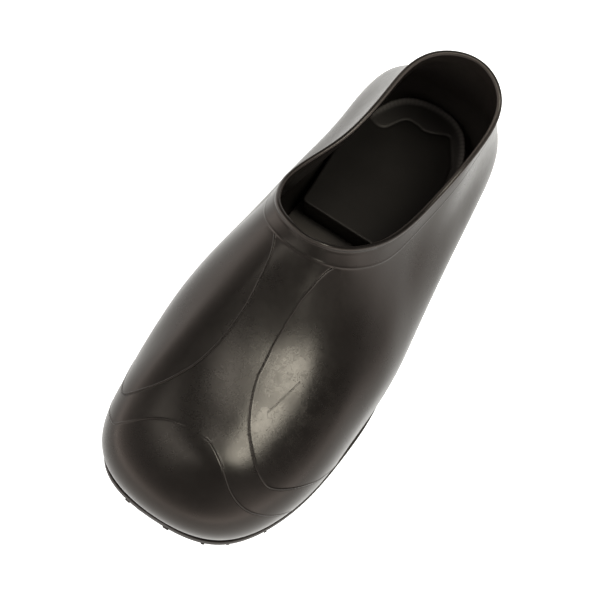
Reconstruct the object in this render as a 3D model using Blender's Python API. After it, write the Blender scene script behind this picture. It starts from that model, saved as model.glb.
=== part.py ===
"""Low slip-on rubber overshoe, empty and standing on its sole.

Frame: metres, +Z up, toe towards -Y, heel towards +Y, +X on the outer side of a left shoe, origin on the
ground under the middle of the shoe. Sizes below are millimetres and are scaled once, where a mesh is made.

The wall of the upper is a surface of ribs. Each rib starts on the seat line, where the wall meets the sole,
swells outwards, turns over the shoulder and ends on the collar rim. A periodic spline through the stations
below carries the ribs round the shoe from the heel to the toe and back.
"""
import math

import bmesh
import bpy
import numpy as np

MM = 0.001

# Wall of the upper and the gaps between pieces
WALL = 2.4
SEAT_GAP = 0.3
COUNTER_GAP = 0.5

# Middle of the shoe's box in the plan of the stations, which becomes the origin
MIDDLE = np.array([1.1, 3.15, 0.0])

# Heights over the ground
LUG_HEIGHT = 4.0
SEAT_HEIGHT = 9.5
TOE_SPRING = 9.0
SPRING_START_Y = -85.0
SPRING_RUN = 75.0
ARCH_RISE = 2.4
ARCH_MIDDLE_Y = 30.0
ARCH_HALF_LENGTH = 45.0

# Sideways lean of the collar, at its throat and at its heel
THROAT_SHIFT = -14.0
HEEL_SHIFT = 7.0

# Half of the shoe, heel to toe: a row for each station round the seat line.
# seat_x, seat_y: point on the seat line; flare: its shift to the outer side, the same on both sides
# rim_x, rim_y, rim_z: point on the collar rim; inner_in: extra inward shift of the rim on the inner side
# bulge: outward swell of the wall; crown_z, crown_in: the shoulder's height and its distance inwards
# lean: distance over which the wall turns up into the collar
STATION_FIELDS = (
    "seat_x", "seat_y", "flare", "rim_x", "rim_y", "rim_z", "inner_in", "bulge", "crown_z", "crown_in", "lean",
)
STATIONS = {
    "heel_back": (0.0, 157.0, -2.5, 0.0, 134.5, 116.5, 0.0, 8.5, 56.5, 0.0, 2.0),
    "heel_corner": (33.5, 149.5, -3.0, 24.0, 123.5, 112.5, 1.0, 5.5, 56.5, 0.0, 2.0),
    "heel_side": (40.0, 108.0, -1.0, 33.0, 98.0, 97.0, 4.0, 9.0, 56.5, 2.0, 3.0),
    "waist_back": (44.5, 60.0, -0.5, 33.5, 67.0, 85.0, 3.5, 9.5, 56.5, 3.0, 4.0),
    "waist": (49.5, 20.0, 0.5, 33.0, 40.5, 83.0, -2.0, 9.0, 56.5, 5.0, 5.0),
    "ball_back": (60.0, -25.0, 1.5, 30.0, 18.5, 88.0, -5.0, 3.0, 59.5, 8.0, 10.0),
    "ball": (61.0, -65.0, 1.0, 24.5, 4.0, 95.0, -4.5, 2.0, 62.5, 12.0, 14.0),
    "toe_side": (53.5, -108.0, 1.5, 17.0, -5.5, 100.0, -2.5, 5.0, 65.5, 16.0, 16.0),
    "toe_corner": (34.0, -144.5, -1.5, 9.0, -10.5, 103.0, 0.0, 9.0, 68.5, 19.0, 18.0),
    "toe_tip": (0.0, -152.0, -0.5, 0.0, -12.0, 103.0, 0.0, 12.0, 71.5, 21.0, 18.0),
}

# Shares of bulge and of crown height at the rib's lower control points, and the upright run below the rim
SWELL_SHARES = (0.0, 0.9, 1.25)
SWELL_HEIGHTS = (0.0, 0.25, 0.62)
RIM_UPRIGHT = 14.0

# Share of the rib over which the wall's normal tilts up from level
LEVEL_SHARE = 0.1

# Slope of a rib's last two weights at the rim, where the rib runs on straight into the bead
END_SLOPE = 9.0

# Rolled bead of the collar, on the rim: distance below the rim along the wall, less than 0 above it, and swell
# outwards; the top of the bead lies a share of the wall inwards
BEAD_ROWS = ((1.6, 0.0), (0.8, 0.4), (0.0, 0.7), (-0.8, 0.7), (-1.6, 0.3))
BEAD_TOP = -2.2
BEAD_TOP_SHARE = 0.4

# Sampling of the upper: columns round the shoe and rows up the wall, outside and inside
COLUMNS = 72
OUTER_ROWS = 17
INNER_ROWS = 14

# Section of the outsole's edge, from the tread to the inner floor: distance outwards from the seat line,
# the face the height is taken from, and the height above that face
LIP = 1.8
EDGE_ROUND = 0.8
PLUG_HEIGHT = 3.0
PLUG_ROOM = 0.7
PLUG_INSET = WALL + PLUG_ROOM
SOLE_SECTION = (
    (LIP - EDGE_ROUND, "tread", 0.0),
    (LIP, "tread", EDGE_ROUND),
    (LIP, "seat", -EDGE_ROUND),
    (LIP - EDGE_ROUND, "seat", 0.0),
    (-PLUG_INSET, "seat", 0.0),
    (-PLUG_INSET - EDGE_ROUND, "seat", PLUG_HEIGHT),
)

# Lugs: blocks round the edge, and slanted bars across the forefoot and the heel
EDGE_LUGS = 42
EDGE_LUG_SHARE = 0.52
EDGE_LUG_TAPER = 0.85
EDGE_LUG_DEPTH = 14.0
EDGE_LUG_REACH = 0.4
LUG_ROOT = 1.3
BAR_PITCH = 19.5
BAR_WIDTH = 8.5
BAR_SLANT = 5.0
BAR_MIDDLE_GAP = 3.0
BAR_SIDE_GAP = 4.0
BAR_RANGES = ((-122.0, -22.0), (76.0, 117.0))

# Raised pad on the inner floor: x and y of points round its widest line, cut straight across at the front
PAD_RING = {
    "back": (-6.5, 155.5),
    "outer_corner": (14.0, 150.5),
    "outer_heel": (24.5, 136.0),
    "outer_side": (33.0, 95.0),
    "outer_waist": (37.0, 55.0),
    "outer_ahead": (34.0, 20.0),
    "inner_ahead": (-36.0, 20.0),
    "inner_waist": (-40.0, 50.0),
    "inner_side": (-42.0, 90.0),
    "inner_heel": (-37.5, 128.0),
    "inner_corner": (-25.5, 149.0),
}
PAD_FRONT_Y = 48.5
PAD_HEIGHT = 29.0
PAD_FOOT_INSET = 2.0
PAD_EDGE_ROUND = 1.6
PAD_ROUND_SHARE = 0.35
PAD_STEPS = 40

# Strip at the back of the heel, used to push the shoe off: half width along the wall as a share of the way
# round, at the foot and at the head, the shares of the rib where it starts and ends, and its thickness
COUNTER_FOOT = 0.017
COUNTER_HEAD = 0.011
COUNTER_LOW = 0.012
COUNTER_HIGH = 0.66
COUNTER_THICK = 3.2
COUNTER_HEAD_THICK = 0.9
COUNTER_TAPER_POWER = 0.7
COUNTER_THICK_POWER = 2.0
COUNTER_COLUMNS = 10
COUNTER_ROWS = 18

# Linear colour and roughness of each rubber
RUBBER_UPPER = ((0.020, 0.018, 0.017, 1.0), 0.42)
RUBBER_SOLE = ((0.014, 0.013, 0.012, 1.0), 0.60)
RUBBER_PAD = ((0.017, 0.016, 0.015, 1.0), 0.55)

# Steps of the finite differences, samples of an outline, and the angle above which an edge is drawn sharp
SMALL_STEP = 0.0005
RIM_STEP = 0.01
OUTLINE_SAMPLES = 1440
SHARP_DEGREES = 35.0


def clear_scene():
    """Remove every object of the scene."""
    for item in list(bpy.data.objects):
        bpy.data.objects.remove(item, do_unlink=True)


def rubber(name, colour, roughness):
    """Return a rubber material.

    Args:
        name: Name of the material.
        colour: Linear RGBA base colour.
        roughness: Roughness of the surface.
    """
    material = bpy.data.materials.new(name)
    material.use_nodes = True
    shader = material.node_tree.nodes["Principled BSDF"]
    shader.inputs["Base Color"].default_value = colour
    shader.inputs["Roughness"].default_value = roughness
    shader.inputs["Metallic"].default_value = 0.0
    return material


def station_table():
    """Return the whole ring of stations and their places round the shoe.

    Returns:
        Rows of seat_x, seat_y, rim_x, rim_y, rim_z, bulge, crown_z, crown_in and lean, from the heel round
        the outer side to the toe and back round the inner side, and the share of the way round of each.
    """
    rows = np.array(list(STATIONS.values()))
    column = {field: rows[:, index] for index, field in enumerate(STATION_FIELDS)}
    along = (column["rim_y"] - column["rim_y"].min()) / np.ptp(column["rim_y"])
    shift = THROAT_SHIFT + (HEEL_SHIFT - THROAT_SHIFT) * along
    shared = [column[field] for field in ("rim_y", "rim_z", "bulge", "crown_z", "crown_in", "lean")]
    outer_seat = column["seat_x"] + column["flare"]
    inner_seat = column["flare"] - column["seat_x"]
    outer_rim = column["rim_x"] + shift
    inner_rim = column["inner_in"] - column["rim_x"] + shift
    outer = np.stack([outer_seat, column["seat_y"], outer_rim, *shared], axis=1)
    inner = np.stack([inner_seat, column["seat_y"], inner_rim, *shared], axis=1)
    steps = np.hypot(np.diff(column["seat_x"]), np.diff(column["seat_y"]))
    half = np.concatenate([[0.0], np.cumsum(steps)]) / (2.0 * steps.sum())
    places = np.concatenate([half, 1.0 - half[1:-1][::-1]])
    return np.vstack([outer, inner[1:-1][::-1]]), places


def ring_spline(rows, places, at):
    """Return a periodic cubic spline through the rows, period 1.

    Args:
        rows: Values at each place, one row a place.
        places: Increasing places in 0 to 1.
        at: Array of places to evaluate at.
    """
    count = len(places)
    gaps = np.diff(np.append(places, places[0] + 1.0))
    system = np.zeros((count, count))
    bend = np.zeros_like(rows)
    for index in range(count):
        before, after = gaps[index - 1], gaps[index]
        following = (index + 1) % count
        system[index, index - 1] += before / 6.0
        system[index, index] += (before + after) / 3.0
        system[index, following] += after / 6.0
        bend[index] = (rows[following] - rows[index]) / after - (rows[index] - rows[index - 1]) / before
    bend = np.linalg.solve(system, bend)
    wrapped = np.asarray(at) % 1.0
    left = np.searchsorted(places, wrapped, side="right") - 1
    right = (left + 1) % count
    gap = gaps[left][..., None]
    near = 1.0 - (wrapped - places[left])[..., None] / gap
    far = 1.0 - near
    cubic = (near**3 - near) * bend[left] + (far**3 - far) * bend[right]
    return near * rows[left] + far * rows[right] + cubic * gap**2 / 6.0


def plan_offset(rows, places, u, out):
    """Return points of a closed plan curve moved outwards along its normal, and the normals.

    Args:
        rows: Plan points that the curve runs through, heel, outer side, toe, inner side.
        places: Share of the way round of each row.
        u: Shares of the way round to evaluate at.
        out: Distance outwards, one value or one for each share.
    """
    u = np.asarray(u, dtype=float)
    run = ring_spline(rows, places, u + SMALL_STEP) - ring_spline(rows, places, u - SMALL_STEP)
    normal = np.stack([-run[..., 1], run[..., 0]], axis=-1)
    normal /= np.linalg.norm(normal, axis=-1, keepdims=True)
    return ring_spline(rows, places, u) + normal * np.asarray(out, dtype=float)[..., None], normal


RING_ROWS, RING_PLACES = station_table()


def seat_height(y):
    """Return the height of the seat line at the given y, with the toe spring."""
    return SEAT_HEIGHT + toe_rise(y)


def toe_rise(y):
    """Return how far the sole has sprung up at the given y."""
    return TOE_SPRING * np.clip((SPRING_START_Y - np.asarray(y)) / SPRING_RUN, 0.0, None) ** 2


def arch_rise(y):
    """Return how far the tread is hollowed at the waist at the given y."""
    across = np.clip(np.abs(np.asarray(y) - ARCH_MIDDLE_Y) / ARCH_HALF_LENGTH, 0.0, 1.0)
    return ARCH_RISE * np.cos(0.5 * math.pi * across) ** 2


def tread_height(y):
    """Return the height of the sole's underside, above its lugs."""
    return LUG_HEIGHT + toe_rise(y) + arch_rise(y)


def ground_height(y):
    """Return the height of the lugs' lower faces."""
    return toe_rise(y) + arch_rise(y)


def seat_point(u, out=0.0):
    """Return plan points on the seat line, moved outwards along its normal.

    Args:
        u: Shares of the way round, from the heel by the outer side.
        out: Distance outwards, one value or one for each share.
    """
    return plan_offset(RING_ROWS[:, :2], RING_PLACES, u, out)


def rib_basis(v):
    """Return the six weights of a clamped cubic B-spline at each v, run on straight above 1."""
    knots = np.concatenate([np.zeros(3), np.linspace(0.0, 1.0, 4), np.ones(3)])
    above = END_SLOPE * np.clip(np.asarray(v, dtype=float) - 1.0, 0.0, None)
    v = np.clip(np.asarray(v, dtype=float), 0.0, 1.0 - 1e-9)
    weights = [((v >= low) & (v < high)).astype(float) for low, high in zip(knots[:-1], knots[1:])]
    for degree in range(1, 4):
        raised = []
        for index in range(len(weights) - 1):
            rise = knots[index + degree] - knots[index]
            fall = knots[index + degree + 1] - knots[index + 1]
            total = np.zeros_like(v)
            if rise > 0.0:
                total += (v - knots[index]) / rise * weights[index]
            if fall > 0.0:
                total += (knots[index + degree + 1] - v) / fall * weights[index + 1]
            raised.append(total)
        weights = raised
    weights[-1] = weights[-1] + above
    weights[-2] = weights[-2] - above
    return np.stack(weights, axis=-1)


def wall_point(u, v):
    """Return points on the outside of the wall.

    Args:
        u: Shares of the way round the shoe.
        v: Shares of the way up the rib, the same shape as u.
    """
    row = ring_spline(RING_ROWS, RING_PLACES, u)
    seat, normal = seat_point(u)
    rim, rim_z, bulge, crown_z, crown_in, lean = row[..., 2:4], *np.moveaxis(row[..., 4:], -1, 0)
    reach = np.linalg.norm(rim - seat, axis=-1)
    inward = (rim - seat) / reach[..., None]
    low = seat_height(seat[..., 1])
    none = np.zeros_like(low)
    slide = np.stack([none, none, none, crown_in, reach - lean, reach], axis=-1)
    swell = np.stack([share * bulge for share in SWELL_SHARES] + [none] * 3, axis=-1)
    lower = [low + share * (crown_z - low) for share in SWELL_HEIGHTS]
    height = np.stack(lower + [crown_z, rim_z - RIM_UPRIGHT, rim_z], axis=-1)
    weights = rib_basis(v)
    plan = seat + inward * (slide * weights).sum(-1)[..., None] + normal * (swell * weights).sum(-1)[..., None]
    return np.concatenate([plan, (height * weights).sum(-1)[..., None]], axis=-1)


def wall_normal(u, v):
    """Return outward unit normals of the wall, level along the seat line."""
    up = wall_point(u, v + SMALL_STEP) - wall_point(u, np.clip(v - SMALL_STEP, 0.0, None))
    around = wall_point(u + SMALL_STEP, v) - wall_point(u - SMALL_STEP, v)
    normal = np.cross(up, around)
    normal[..., 2] *= np.clip(v / LEVEL_SHARE, 0.0, 1.0)
    return normal / np.linalg.norm(normal, axis=-1, keepdims=True)


def wall_offset(u, v, out):
    """Return points moved off the wall along its normal."""
    return wall_point(u, v) + wall_normal(u, v) * np.asarray(out, dtype=float)[..., None]


def rim_share(u, below):
    """Return v at a given distance below the rim, measured along the wall."""
    rim = wall_point(u, np.ones_like(u))
    run = np.linalg.norm(rim - wall_point(u, np.full_like(u, 1.0 - RIM_STEP)), axis=-1)
    return 1.0 - below * RIM_STEP / run


def quads_between(lower, upper):
    """Return faces that join two closed loops of vertex numbers of the same length."""
    count = len(lower)
    return [
        (lower[i], lower[(i + 1) % count], upper[(i + 1) % count], upper[i])
        for i in range(count)
    ]


def ladder(loop):
    """Return faces that fill a loop whose halves run on both sides, numbered from the heel."""
    count = len(loop)
    faces = [(loop[0], loop[1], loop[-1])]
    for i in range(1, count // 2 - 1):
        faces.append((loop[i], loop[i + 1], loop[count - i - 1], loop[count - i]))
    half = count // 2
    faces.append((loop[half - 1], loop[half], loop[half + 1]))
    return faces


def stack_loops(loops):
    """Return one vertex list and the vertex numbers of each loop."""
    starts = np.cumsum([0] + [len(loop) for loop in loops])
    numbers = [list(range(start, start + len(loop))) for start, loop in zip(starts, loops)]
    return np.vstack(loops), numbers


def solid(name, points, faces, material):
    """Return an object made from points in millimetres, with its faces turned outwards.

    Args:
        name: Name of the object.
        points: Vertices, one row each.
        faces: Tuples of vertex numbers.
        material: Material of the whole object.
    """
    mesh = bpy.data.meshes.new(name)
    mesh.from_pydata(((np.asarray(points) - MIDDLE) * MM).tolist(), [], faces)
    shape = bmesh.new()
    shape.from_mesh(mesh)
    bmesh.ops.recalc_face_normals(shape, faces=shape.faces)
    shape.to_mesh(mesh)
    shape.free()
    mesh.materials.append(material)
    mesh.shade_smooth()
    mesh.set_sharp_from_angle(angle=math.radians(SHARP_DEGREES))
    item = bpy.data.objects.new(name, mesh)
    bpy.context.scene.collection.objects.link(item)
    return item


def make_upper(material):
    """Return the hollow upper: outside, collar bead, inside, and the edges that close the wall."""
    u = np.arange(COLUMNS) / COLUMNS
    bead_low = rim_share(u, np.full_like(u, BEAD_ROWS[0][0]))
    outer = []
    for share in np.linspace(0.0, 1.0, OUTER_ROWS):
        outer.append(wall_point(u, share * bead_low))
    for below, swell in BEAD_ROWS[1:]:
        outer.append(wall_offset(u, rim_share(u, np.full_like(u, below)), np.full_like(u, swell)))
    top = wall_offset(u, rim_share(u, np.full_like(u, BEAD_TOP)), np.full_like(u, -BEAD_TOP_SHARE * WALL))
    inner = []
    for share in np.linspace(1.0, 0.0, INNER_ROWS):
        inside_v = share * rim_share(u, np.full_like(u, BEAD_ROWS[-1][0]))
        inner.append(wall_offset(u, inside_v, np.full_like(u, -WALL)))
    points, loops = stack_loops(outer + [top] + inner)
    faces = []
    for lower, upper in zip(loops, loops[1:] + loops[:1]):
        faces += quads_between(lower, upper)
    return solid("upper", points, faces, material)


def sole_plate(material):
    """Return the sole without its lugs: edge with a lip, seat for the wall, and raised inner floor."""
    u = np.arange(COLUMNS) / COLUMNS
    face_height = {
        "tread": tread_height,
        "seat": lambda y: seat_height(y) - SEAT_GAP,
    }
    loops = []
    for out, face, rise in SOLE_SECTION:
        plan, _ = seat_point(u, np.full_like(u, out))
        height = face_height[face](plan[:, 1]) + rise
        loops.append(np.column_stack([plan, height]))
    points, numbers = stack_loops(loops)
    faces = ladder(numbers[0]) + ladder(numbers[-1])
    for lower, upper in zip(numbers, numbers[1:]):
        faces += quads_between(lower, upper)
    return solid("outsole", points, faces, material)


def lug_block(corners):
    """Return the vertices and faces of a lug whose plan is the given four corners, in order."""
    foot = np.column_stack([corners, ground_height(corners[:, 1])])
    root = np.column_stack([corners, tread_height(corners[:, 1]) + LUG_ROOT])
    sides = [(i, (i + 1) % 4, 4 + (i + 1) % 4, 4 + i) for i in range(4)]
    return np.vstack([foot, root]), [(3, 2, 1, 0), (4, 5, 6, 7)] + sides


def edge_lugs():
    """Return the blocks round the sole's edge, square to the seat line and narrower inwards."""
    blocks = []
    outside = LIP + EDGE_LUG_REACH
    half = 0.5 * EDGE_LUG_SHARE / EDGE_LUGS
    for u in (np.arange(EDGE_LUGS) + 0.5) / EDGE_LUGS:
        ends = u + half * np.array([-1.0, 1.0, EDGE_LUG_TAPER, -EDGE_LUG_TAPER])
        inside = outside - EDGE_LUG_DEPTH
        corners, _ = seat_point(ends, np.array([outside, outside, inside, inside]))
        blocks.append(lug_block(corners))
    return blocks


def side_reach(y):
    """Return how far the seat line reaches to the outer and the inner side at the given y."""
    plan, _ = seat_point(np.linspace(0.0, 1.0, OUTLINE_SAMPLES + 1))
    half = len(plan) // 2
    outer, inner = plan[: half + 1], plan[half:]
    outer_x = np.interp(-y, -outer[:, 1], outer[:, 0])
    inner_x = np.interp(y, inner[:, 1], inner[:, 0])
    return outer_x, inner_x


def bar_lugs():
    """Return the slanted bars across the forefoot and the heel, a pair in each row."""
    blocks = []
    taken = EDGE_LUG_DEPTH - LIP - EDGE_LUG_REACH + BAR_SIDE_GAP
    for low, high in BAR_RANGES:
        rows = int((high - low) // BAR_PITCH) + 1
        for y in low + BAR_PITCH * np.arange(rows):
            outer_x, inner_x = side_reach(y)
            middle = 0.5 * (outer_x + inner_x)
            for side, edge in ((1.0, outer_x - taken), (-1.0, inner_x + taken)):
                start = middle + side * BAR_MIDDLE_GAP
                corners = np.array([
                    (start, y - BAR_WIDTH / 2.0),
                    (edge, y - BAR_WIDTH / 2.0 + BAR_SLANT),
                    (edge, y + BAR_WIDTH / 2.0 + BAR_SLANT),
                    (start, y + BAR_WIDTH / 2.0),
                ])
                blocks.append(lug_block(corners))
    return blocks


def make_outsole(material):
    """Return the outsole: the plate and its lugs, joined into one body."""
    plate = sole_plate(material)
    blocks = edge_lugs() + bar_lugs()
    points = np.vstack([block[0] for block in blocks])
    faces = []
    for index, (block_points, block_faces) in enumerate(blocks):
        first = index * len(block_points)
        faces += [tuple(first + number for number in face) for face in block_faces]
    lugs = solid("lug_set", points, faces, material)
    lugs.hide_render = True
    lugs.display_type = "WIRE"
    join = plate.modifiers.new("lugs", "BOOLEAN")
    join.operation = "UNION"
    join.solver = "EXACT"
    join.object = lugs
    return plate


def pad_loop(inset):
    """Return the pad's plan outline: a straight front and the rest of its ring behind it.

    Args:
        inset: Distance inwards from the ring.
    """
    rows = np.array(list(PAD_RING.values()))
    steps = np.hypot(*np.diff(np.vstack([rows, rows[:1]]), axis=0).T)
    places = np.concatenate([[0.0], np.cumsum(steps)[:-1]]) / steps.sum()
    plan, _ = plan_offset(rows, places, np.linspace(-0.5, 0.5, OUTLINE_SAMPLES + 1), -inset)
    behind = plan[plan[:, 1] > PAD_FRONT_Y]
    run = np.concatenate([[0.0], np.cumsum(np.hypot(*np.diff(behind, axis=0).T))])
    at = np.linspace(0.0, run[-1], PAD_STEPS)
    loop = np.column_stack([np.interp(at, run, behind[:, 0]), np.interp(at, run, behind[:, 1])])
    loop[[0, -1], 1] = PAD_FRONT_Y
    return loop


def make_heel_pad(material):
    """Return the raised pad that lies on the inner floor under the heel and waist."""
    sections = (
        (PAD_FOOT_INSET, SEAT_HEIGHT + PLUG_HEIGHT),
        (0.0, PAD_HEIGHT - PAD_EDGE_ROUND),
        (PAD_ROUND_SHARE * PAD_EDGE_ROUND, PAD_HEIGHT - PAD_ROUND_SHARE * PAD_EDGE_ROUND),
        (PAD_EDGE_ROUND, PAD_HEIGHT),
    )
    loops = []
    for inset, height in sections:
        plan = pad_loop(inset)
        loops.append(np.column_stack([plan, np.full(len(plan), height)]))
    points, numbers = stack_loops(loops)
    faces = [tuple(numbers[0][::-1]), tuple(numbers[-1])]
    for lower, upper in zip(numbers, numbers[1:]):
        faces += quads_between(lower, upper)
    return solid("heel_pad", points, faces, material)


def make_heel_counter(material):
    """Return the strip at the back of the heel, between two larger forms of the wall."""
    across = np.linspace(-1.0, 1.0, COUNTER_COLUMNS)
    up = np.linspace(0.0, 1.0, COUNTER_ROWS)
    across_grid, up_grid = np.meshgrid(across, up)
    half_width = COUNTER_FOOT + (COUNTER_HEAD - COUNTER_FOOT) * up_grid**COUNTER_TAPER_POWER
    u = across_grid * half_width
    v = COUNTER_LOW + (COUNTER_HIGH - COUNTER_LOW) * up_grid
    thick = COUNTER_THICK + (COUNTER_HEAD_THICK - COUNTER_THICK) * up_grid**COUNTER_THICK_POWER
    near = wall_offset(u, v, np.full_like(u, COUNTER_GAP)).reshape(-1, 3)
    far = wall_offset(u, v, COUNTER_GAP + thick).reshape(-1, 3)
    points = np.vstack([near, far])
    grid = np.arange(len(near)).reshape(COUNTER_ROWS, COUNTER_COLUMNS)
    faces = []
    for row in range(COUNTER_ROWS - 1):
        for col in range(COUNTER_COLUMNS - 1):
            face = (grid[row, col], grid[row, col + 1], grid[row + 1, col + 1], grid[row + 1, col])
            faces.append(tuple(int(number) for number in face))
            faces.append(tuple(int(number) + len(near) for number in face[::-1]))
    border = np.concatenate([grid[0, :-1], grid[:-1, -1], grid[-1, :0:-1], grid[:0:-1, 0]]).tolist()
    faces += quads_between(border, [number + len(near) for number in border])
    return solid("heel_counter", points, faces, material)


def main():
    """Build the overshoe."""
    clear_scene()
    upper_rubber = rubber("upper_rubber", *RUBBER_UPPER)
    sole_rubber = rubber("sole_rubber", *RUBBER_SOLE)
    pad_rubber = rubber("pad_rubber", *RUBBER_PAD)
    make_outsole(sole_rubber)
    make_upper(upper_rubber)
    make_heel_pad(pad_rubber)
    make_heel_counter(upper_rubber)


main()
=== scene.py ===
"""Looks of a low slip-on overshoe of black moulded rubber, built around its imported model.

The wall of the upper is a surface of ribs. u is the share of the way round the shoe, from the back of the
heel by the outer side to the toe and back by the inner side. v is the share of the way up a rib, from the
seat line on the sole to the collar rim. Sizes are millimetres in the plan of the stations, and to_frame()
moves and scales them once.
"""

import logging
import math
from collections.abc import Callable, Sequence
from dataclasses import dataclass
from enum import Enum, IntEnum

import bmesh
import bpy
import numpy as np
from mathutils import Matrix, Vector


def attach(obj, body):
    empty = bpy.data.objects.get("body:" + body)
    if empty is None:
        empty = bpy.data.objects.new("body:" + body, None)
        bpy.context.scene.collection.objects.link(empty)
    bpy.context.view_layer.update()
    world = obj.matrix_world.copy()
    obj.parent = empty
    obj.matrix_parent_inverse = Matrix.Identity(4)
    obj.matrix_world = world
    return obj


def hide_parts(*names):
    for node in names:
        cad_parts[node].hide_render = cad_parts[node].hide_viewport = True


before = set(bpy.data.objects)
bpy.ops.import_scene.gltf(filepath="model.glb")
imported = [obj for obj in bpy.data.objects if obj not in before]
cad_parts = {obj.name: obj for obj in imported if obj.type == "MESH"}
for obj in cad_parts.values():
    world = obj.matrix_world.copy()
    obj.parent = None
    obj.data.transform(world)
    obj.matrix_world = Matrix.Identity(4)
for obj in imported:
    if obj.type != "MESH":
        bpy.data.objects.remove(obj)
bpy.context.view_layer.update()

LOG = logging.getLogger("overshoe")
MM = 0.001
MIDDLE = np.array([1.1, 3.15, 0.0])
BODY = "root"
UNMARKED = 10.0
SHARE_STEP = 0.0005

Array = np.ndarray
Colour = tuple[float, float, float]
Settings = dict[str, object]
Sockets = dict[str | int, object]


def to_frame(points: Array) -> Array:
    """Return points of the station plan in the frame's metres."""
    return (np.asarray(points) - MIDDLE) * MM


def smooth(low: float, high: float, value: Array) -> Array:
    """Return a soft step from 0 at low to 1 at high."""
    share = np.clip((np.asarray(value) - low) / (high - low), 0.0, 1.0)
    return share * share * (3.0 - 2.0 * share)


def bell(value: Array, width: float) -> Array:
    """Return a soft bump that is 1 at 0 and fades over width."""
    return np.exp(-((np.asarray(value) / width) ** 2))


def ring_spline(rows: Array, places: Array, at: Array) -> Array:
    """Return a periodic cubic spline through the rows, period 1.

    Args:
        rows: Values at each place, one row a place.
        places: Increasing places in 0 to 1.
        at: Places to evaluate at.

    Returns:
        One row for each place asked for.
    """
    count = len(places)
    gaps = np.diff(np.append(places, places[0] + 1.0))
    system = np.zeros((count, count))
    bend = np.zeros_like(rows)
    for index in range(count):
        before, after = gaps[index - 1], gaps[index]
        following = (index + 1) % count
        system[index, index - 1] += before / 6.0
        system[index, index] += (before + after) / 3.0
        system[index, following] += after / 6.0
        bend[index] = (rows[following] - rows[index]) / after - (rows[index] - rows[index - 1]) / before
    bend = np.linalg.solve(system, bend)
    wrapped = np.asarray(at) % 1.0
    left = np.searchsorted(places, wrapped, side="right") - 1
    right = (left + 1) % count
    gap = gaps[left][..., None]
    near = 1.0 - (wrapped - places[left])[..., None] / gap
    far = 1.0 - near
    cubic = (near**3 - near) * bend[left] + (far**3 - far) * bend[right]
    return near * rows[left] + far * rows[right] + cubic * gap**2 / 6.0


def plan_offset(rows: Array, places: Array, u: Array, out: Array | float) -> tuple[Array, Array]:
    """Move points of a closed plan curve outwards along its normal.

    Args:
        rows: Plan points of the curve: heel, outer side, toe, inner side.
        places: Share of the way round of each row.
        u: Shares of the way round to evaluate at.
        out: Distance outwards, one value or one for each share.

    Returns:
        The moved points and the outward normals.
    """
    u = np.asarray(u, dtype=float)
    run = ring_spline(rows, places, u + SHARE_STEP) - ring_spline(rows, places, u - SHARE_STEP)
    normal = np.stack([-run[..., 1], run[..., 0]], axis=-1)
    normal /= np.linalg.norm(normal, axis=-1, keepdims=True)
    return ring_spline(rows, places, u) + normal * np.asarray(out, dtype=float)[..., None], normal


def through(points: Sequence[tuple[float, ...]], count: int) -> Array:
    """Draw a smooth open path through points.

    Args:
        points: Points on the path, in order.
        count: How many points to return.

    Returns:
        Points along the path, spread evenly by the points given.
    """
    knots = np.array(points)
    ends = np.vstack([2.0 * knots[0] - knots[1], knots, 2.0 * knots[-1] - knots[-2]])
    at = np.linspace(0.0, len(knots) - 1.0, count)
    index = np.minimum(at.astype(int), len(knots) - 2)
    t = (at - index)[:, None]
    before, start, stop, after = (ends[index + shift] for shift in range(4))
    turn = 2.0 * before - 5.0 * start + 4.0 * stop - after
    flex = 3.0 * (start - stop) + after - before
    return 0.5 * (2.0 * start + (stop - before) * t + turn * t**2 + flex * t**3)


@dataclass(frozen=True)
class Station:
    """One pair of ribs of the upper, outer and inner side, in millimetres.

    seat_x and seat_y lie on the seat line, flare shifts both sides outwards, rim_x, rim_y and rim_z lie on
    the collar rim, inner_in narrows the rim on the inner side, bulge is the wall's swell, crown_z and
    crown_in place the shoulder, and lean is the run over which the wall turns up into the collar.
    """

    seat_x: float
    seat_y: float
    flare: float
    rim_x: float
    rim_y: float
    rim_z: float
    inner_in: float
    bulge: float
    crown_z: float
    crown_in: float
    lean: float


STATIONS = (
    Station(0.0, 157.0, -2.5, 0.0, 134.5, 116.5, 0.0, 8.5, 56.5, 0.0, 2.0),
    Station(33.5, 149.5, -3.0, 24.0, 123.5, 112.5, 1.0, 5.5, 56.5, 0.0, 2.0),
    Station(40.0, 108.0, -1.0, 33.0, 98.0, 97.0, 4.0, 9.0, 56.5, 2.0, 3.0),
    Station(44.5, 60.0, -0.5, 33.5, 67.0, 85.0, 3.5, 9.5, 56.5, 3.0, 4.0),
    Station(49.5, 20.0, 0.5, 33.0, 40.5, 83.0, -2.0, 9.0, 56.5, 5.0, 5.0),
    Station(60.0, -25.0, 1.5, 30.0, 18.5, 88.0, -5.0, 3.0, 59.5, 8.0, 10.0),
    Station(61.0, -65.0, 1.0, 24.5, 4.0, 95.0, -4.5, 2.0, 62.5, 12.0, 14.0),
    Station(53.5, -108.0, 1.5, 17.0, -5.5, 100.0, -2.5, 5.0, 65.5, 16.0, 16.0),
    Station(34.0, -144.5, -1.5, 9.0, -10.5, 103.0, 0.0, 9.0, 68.5, 19.0, 18.0),
    Station(0.0, -152.0, -0.5, 0.0, -12.0, 103.0, 0.0, 12.0, 71.5, 21.0, 18.0),
)


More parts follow.
